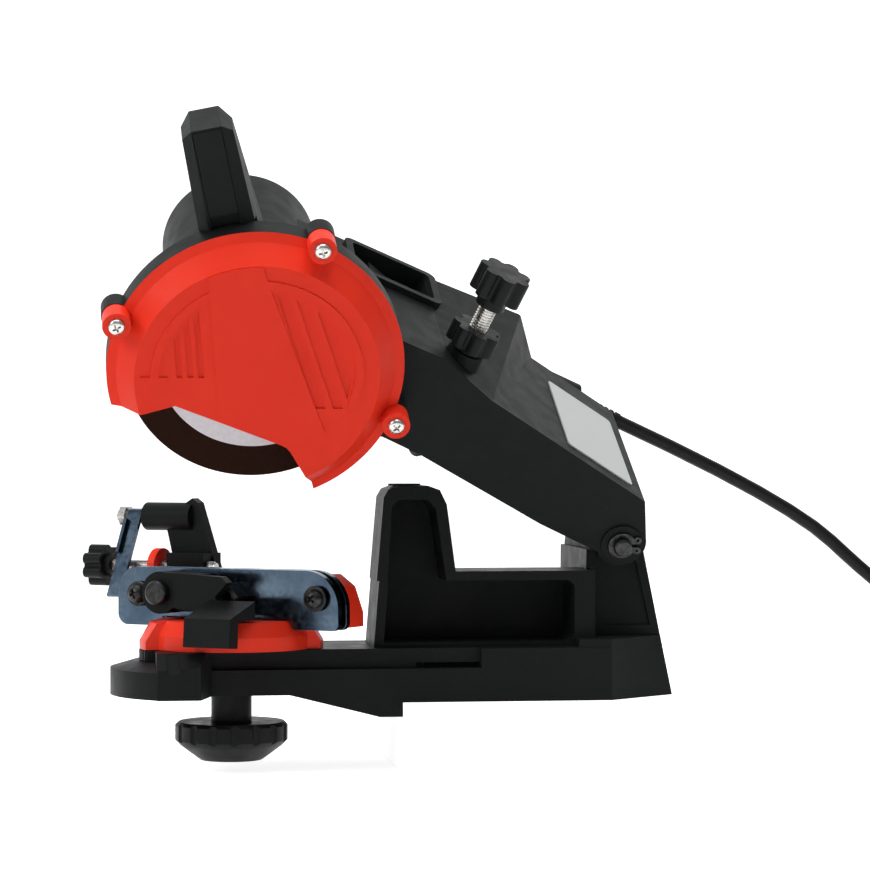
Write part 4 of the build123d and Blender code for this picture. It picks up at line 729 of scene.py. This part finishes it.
def white_stage(name, glow):
    """White to the camera, in mirrors and through glass, and matt to every other ray."""
    material = bpy.data.materials.new(name)
    material.use_nodes = True
    tree = material.node_tree
    tree.nodes.clear()
    out = tree.nodes.new("ShaderNodeOutputMaterial")
    path = tree.nodes.new("ShaderNodeLightPath")
    first = tree.nodes.new("ShaderNodeMath")
    first.operation = "MAXIMUM"
    second = tree.nodes.new("ShaderNodeMath")
    second.operation = "MAXIMUM"
    light = tree.nodes.new("ShaderNodeMath")
    light.operation = "MULTIPLY"
    light.inputs[1].default_value = glow
    shine = tree.nodes.new("ShaderNodeEmission")
    matt = tree.nodes.new("ShaderNodeBsdfDiffuse")
    matt.inputs["Color"].default_value = (0.8, 0.8, 0.8, 1)
    both = tree.nodes.new("ShaderNodeAddShader")
    tree.links.new(path.outputs["Is Camera Ray"], first.inputs[0])
    tree.links.new(path.outputs["Is Glossy Ray"], first.inputs[1])
    tree.links.new(first.outputs["Value"], second.inputs[0])
    tree.links.new(path.outputs["Is Transmission Ray"], second.inputs[1])
    tree.links.new(second.outputs["Value"], light.inputs[0])
    tree.links.new(light.outputs["Value"], shine.inputs["Strength"])
    tree.links.new(shine.outputs["Emission"], both.inputs[0])
    tree.links.new(matt.outputs["BSDF"], both.inputs[1])
    tree.links.new(both.outputs["Shader"], out.inputs["Surface"])
    return material


def stage_block(name, low, high, material):
    shape = bmesh.new()
    corners = bmesh.ops.create_cube(shape, size=1.0)["verts"]
    size = Vector(high) - Vector(low)
    bmesh.ops.scale(shape, verts=corners, vec=size)
    bmesh.ops.translate(shape, verts=corners, vec=(Vector(low) + Vector(high)) / 2)
    mesh = bpy.data.meshes.new(name)
    shape.to_mesh(mesh)
    shape.free()
    mesh.materials.append(material)
    piece = bpy.data.objects.new(name, mesh)
    bpy.context.scene.collection.objects.link(piece)
    return piece


floor_white = white_stage("floor_white", 0.85)
wall_white = white_stage("wall_white", 1.0)
stage_block("bench", (-0.0611, -0.095, -0.030), (1.6, 1.3, -0.0001), floor_white)
stage_block("floor", (-6.0, -6.0, -0.040), (6.0, 6.0, -0.0302), floor_white)
stage_block("backdrop", (-6.0, 4.0, -0.040), (6.0, 4.02, 6.0), wall_white)

# %% [markdown]
# ## Light
# A broad lamp above gives the light tops and the dark fronts, a small one from the left edges
# the guard and the grip, and the world fills the rest, brighter above than in front.

# %% Light


def add_lamp(name, place, target, size, power):
    lamp_data = bpy.data.lights.new(name, "AREA")
    lamp_data.shape = "RECTANGLE"
    lamp_data.size, lamp_data.size_y = size
    lamp_data.energy = power
    lamp = bpy.data.objects.new(name, lamp_data)
    lamp.location = place
    lamp.rotation_euler = (Vector(target) - Vector(place)).to_track_quat("-Z", "Y").to_euler()
    bpy.context.scene.collection.objects.link(lamp)
    return lamp


middle = (-0.05, 0.0, 0.1)
add_lamp("top_lamp", (-0.15, -0.25, 1.5), middle, (1.2, 0.9), 22)
add_lamp("left_lamp", (-1.4, -0.7, 0.9), middle, (0.6, 0.8), 10)

world = bpy.data.worlds.new("world")
bpy.context.scene.world = world
world.use_nodes = True
tree = world.node_tree
sky = tree.nodes["Background"]
place = tree.nodes.new("ShaderNodeTexCoord")
parts = tree.nodes.new("ShaderNodeSeparateXYZ")
rise = tree.nodes.new("ShaderNodeMapRange")
rise.inputs["From Min"].default_value = -0.1
rise.inputs["From Max"].default_value = 0.9
rise.inputs["To Min"].default_value = 0.12
rise.inputs["To Max"].default_value = 0.55
tree.links.new(place.outputs["Generated"], parts.inputs["Vector"])
tree.links.new(parts.outputs["Z"], rise.inputs["Value"])
tree.links.new(rise.outputs["Result"], sky.inputs["Strength"])
sky.inputs["Color"].default_value = (1, 1, 1, 1)

bpy.context.scene.view_settings.view_transform = "Standard"
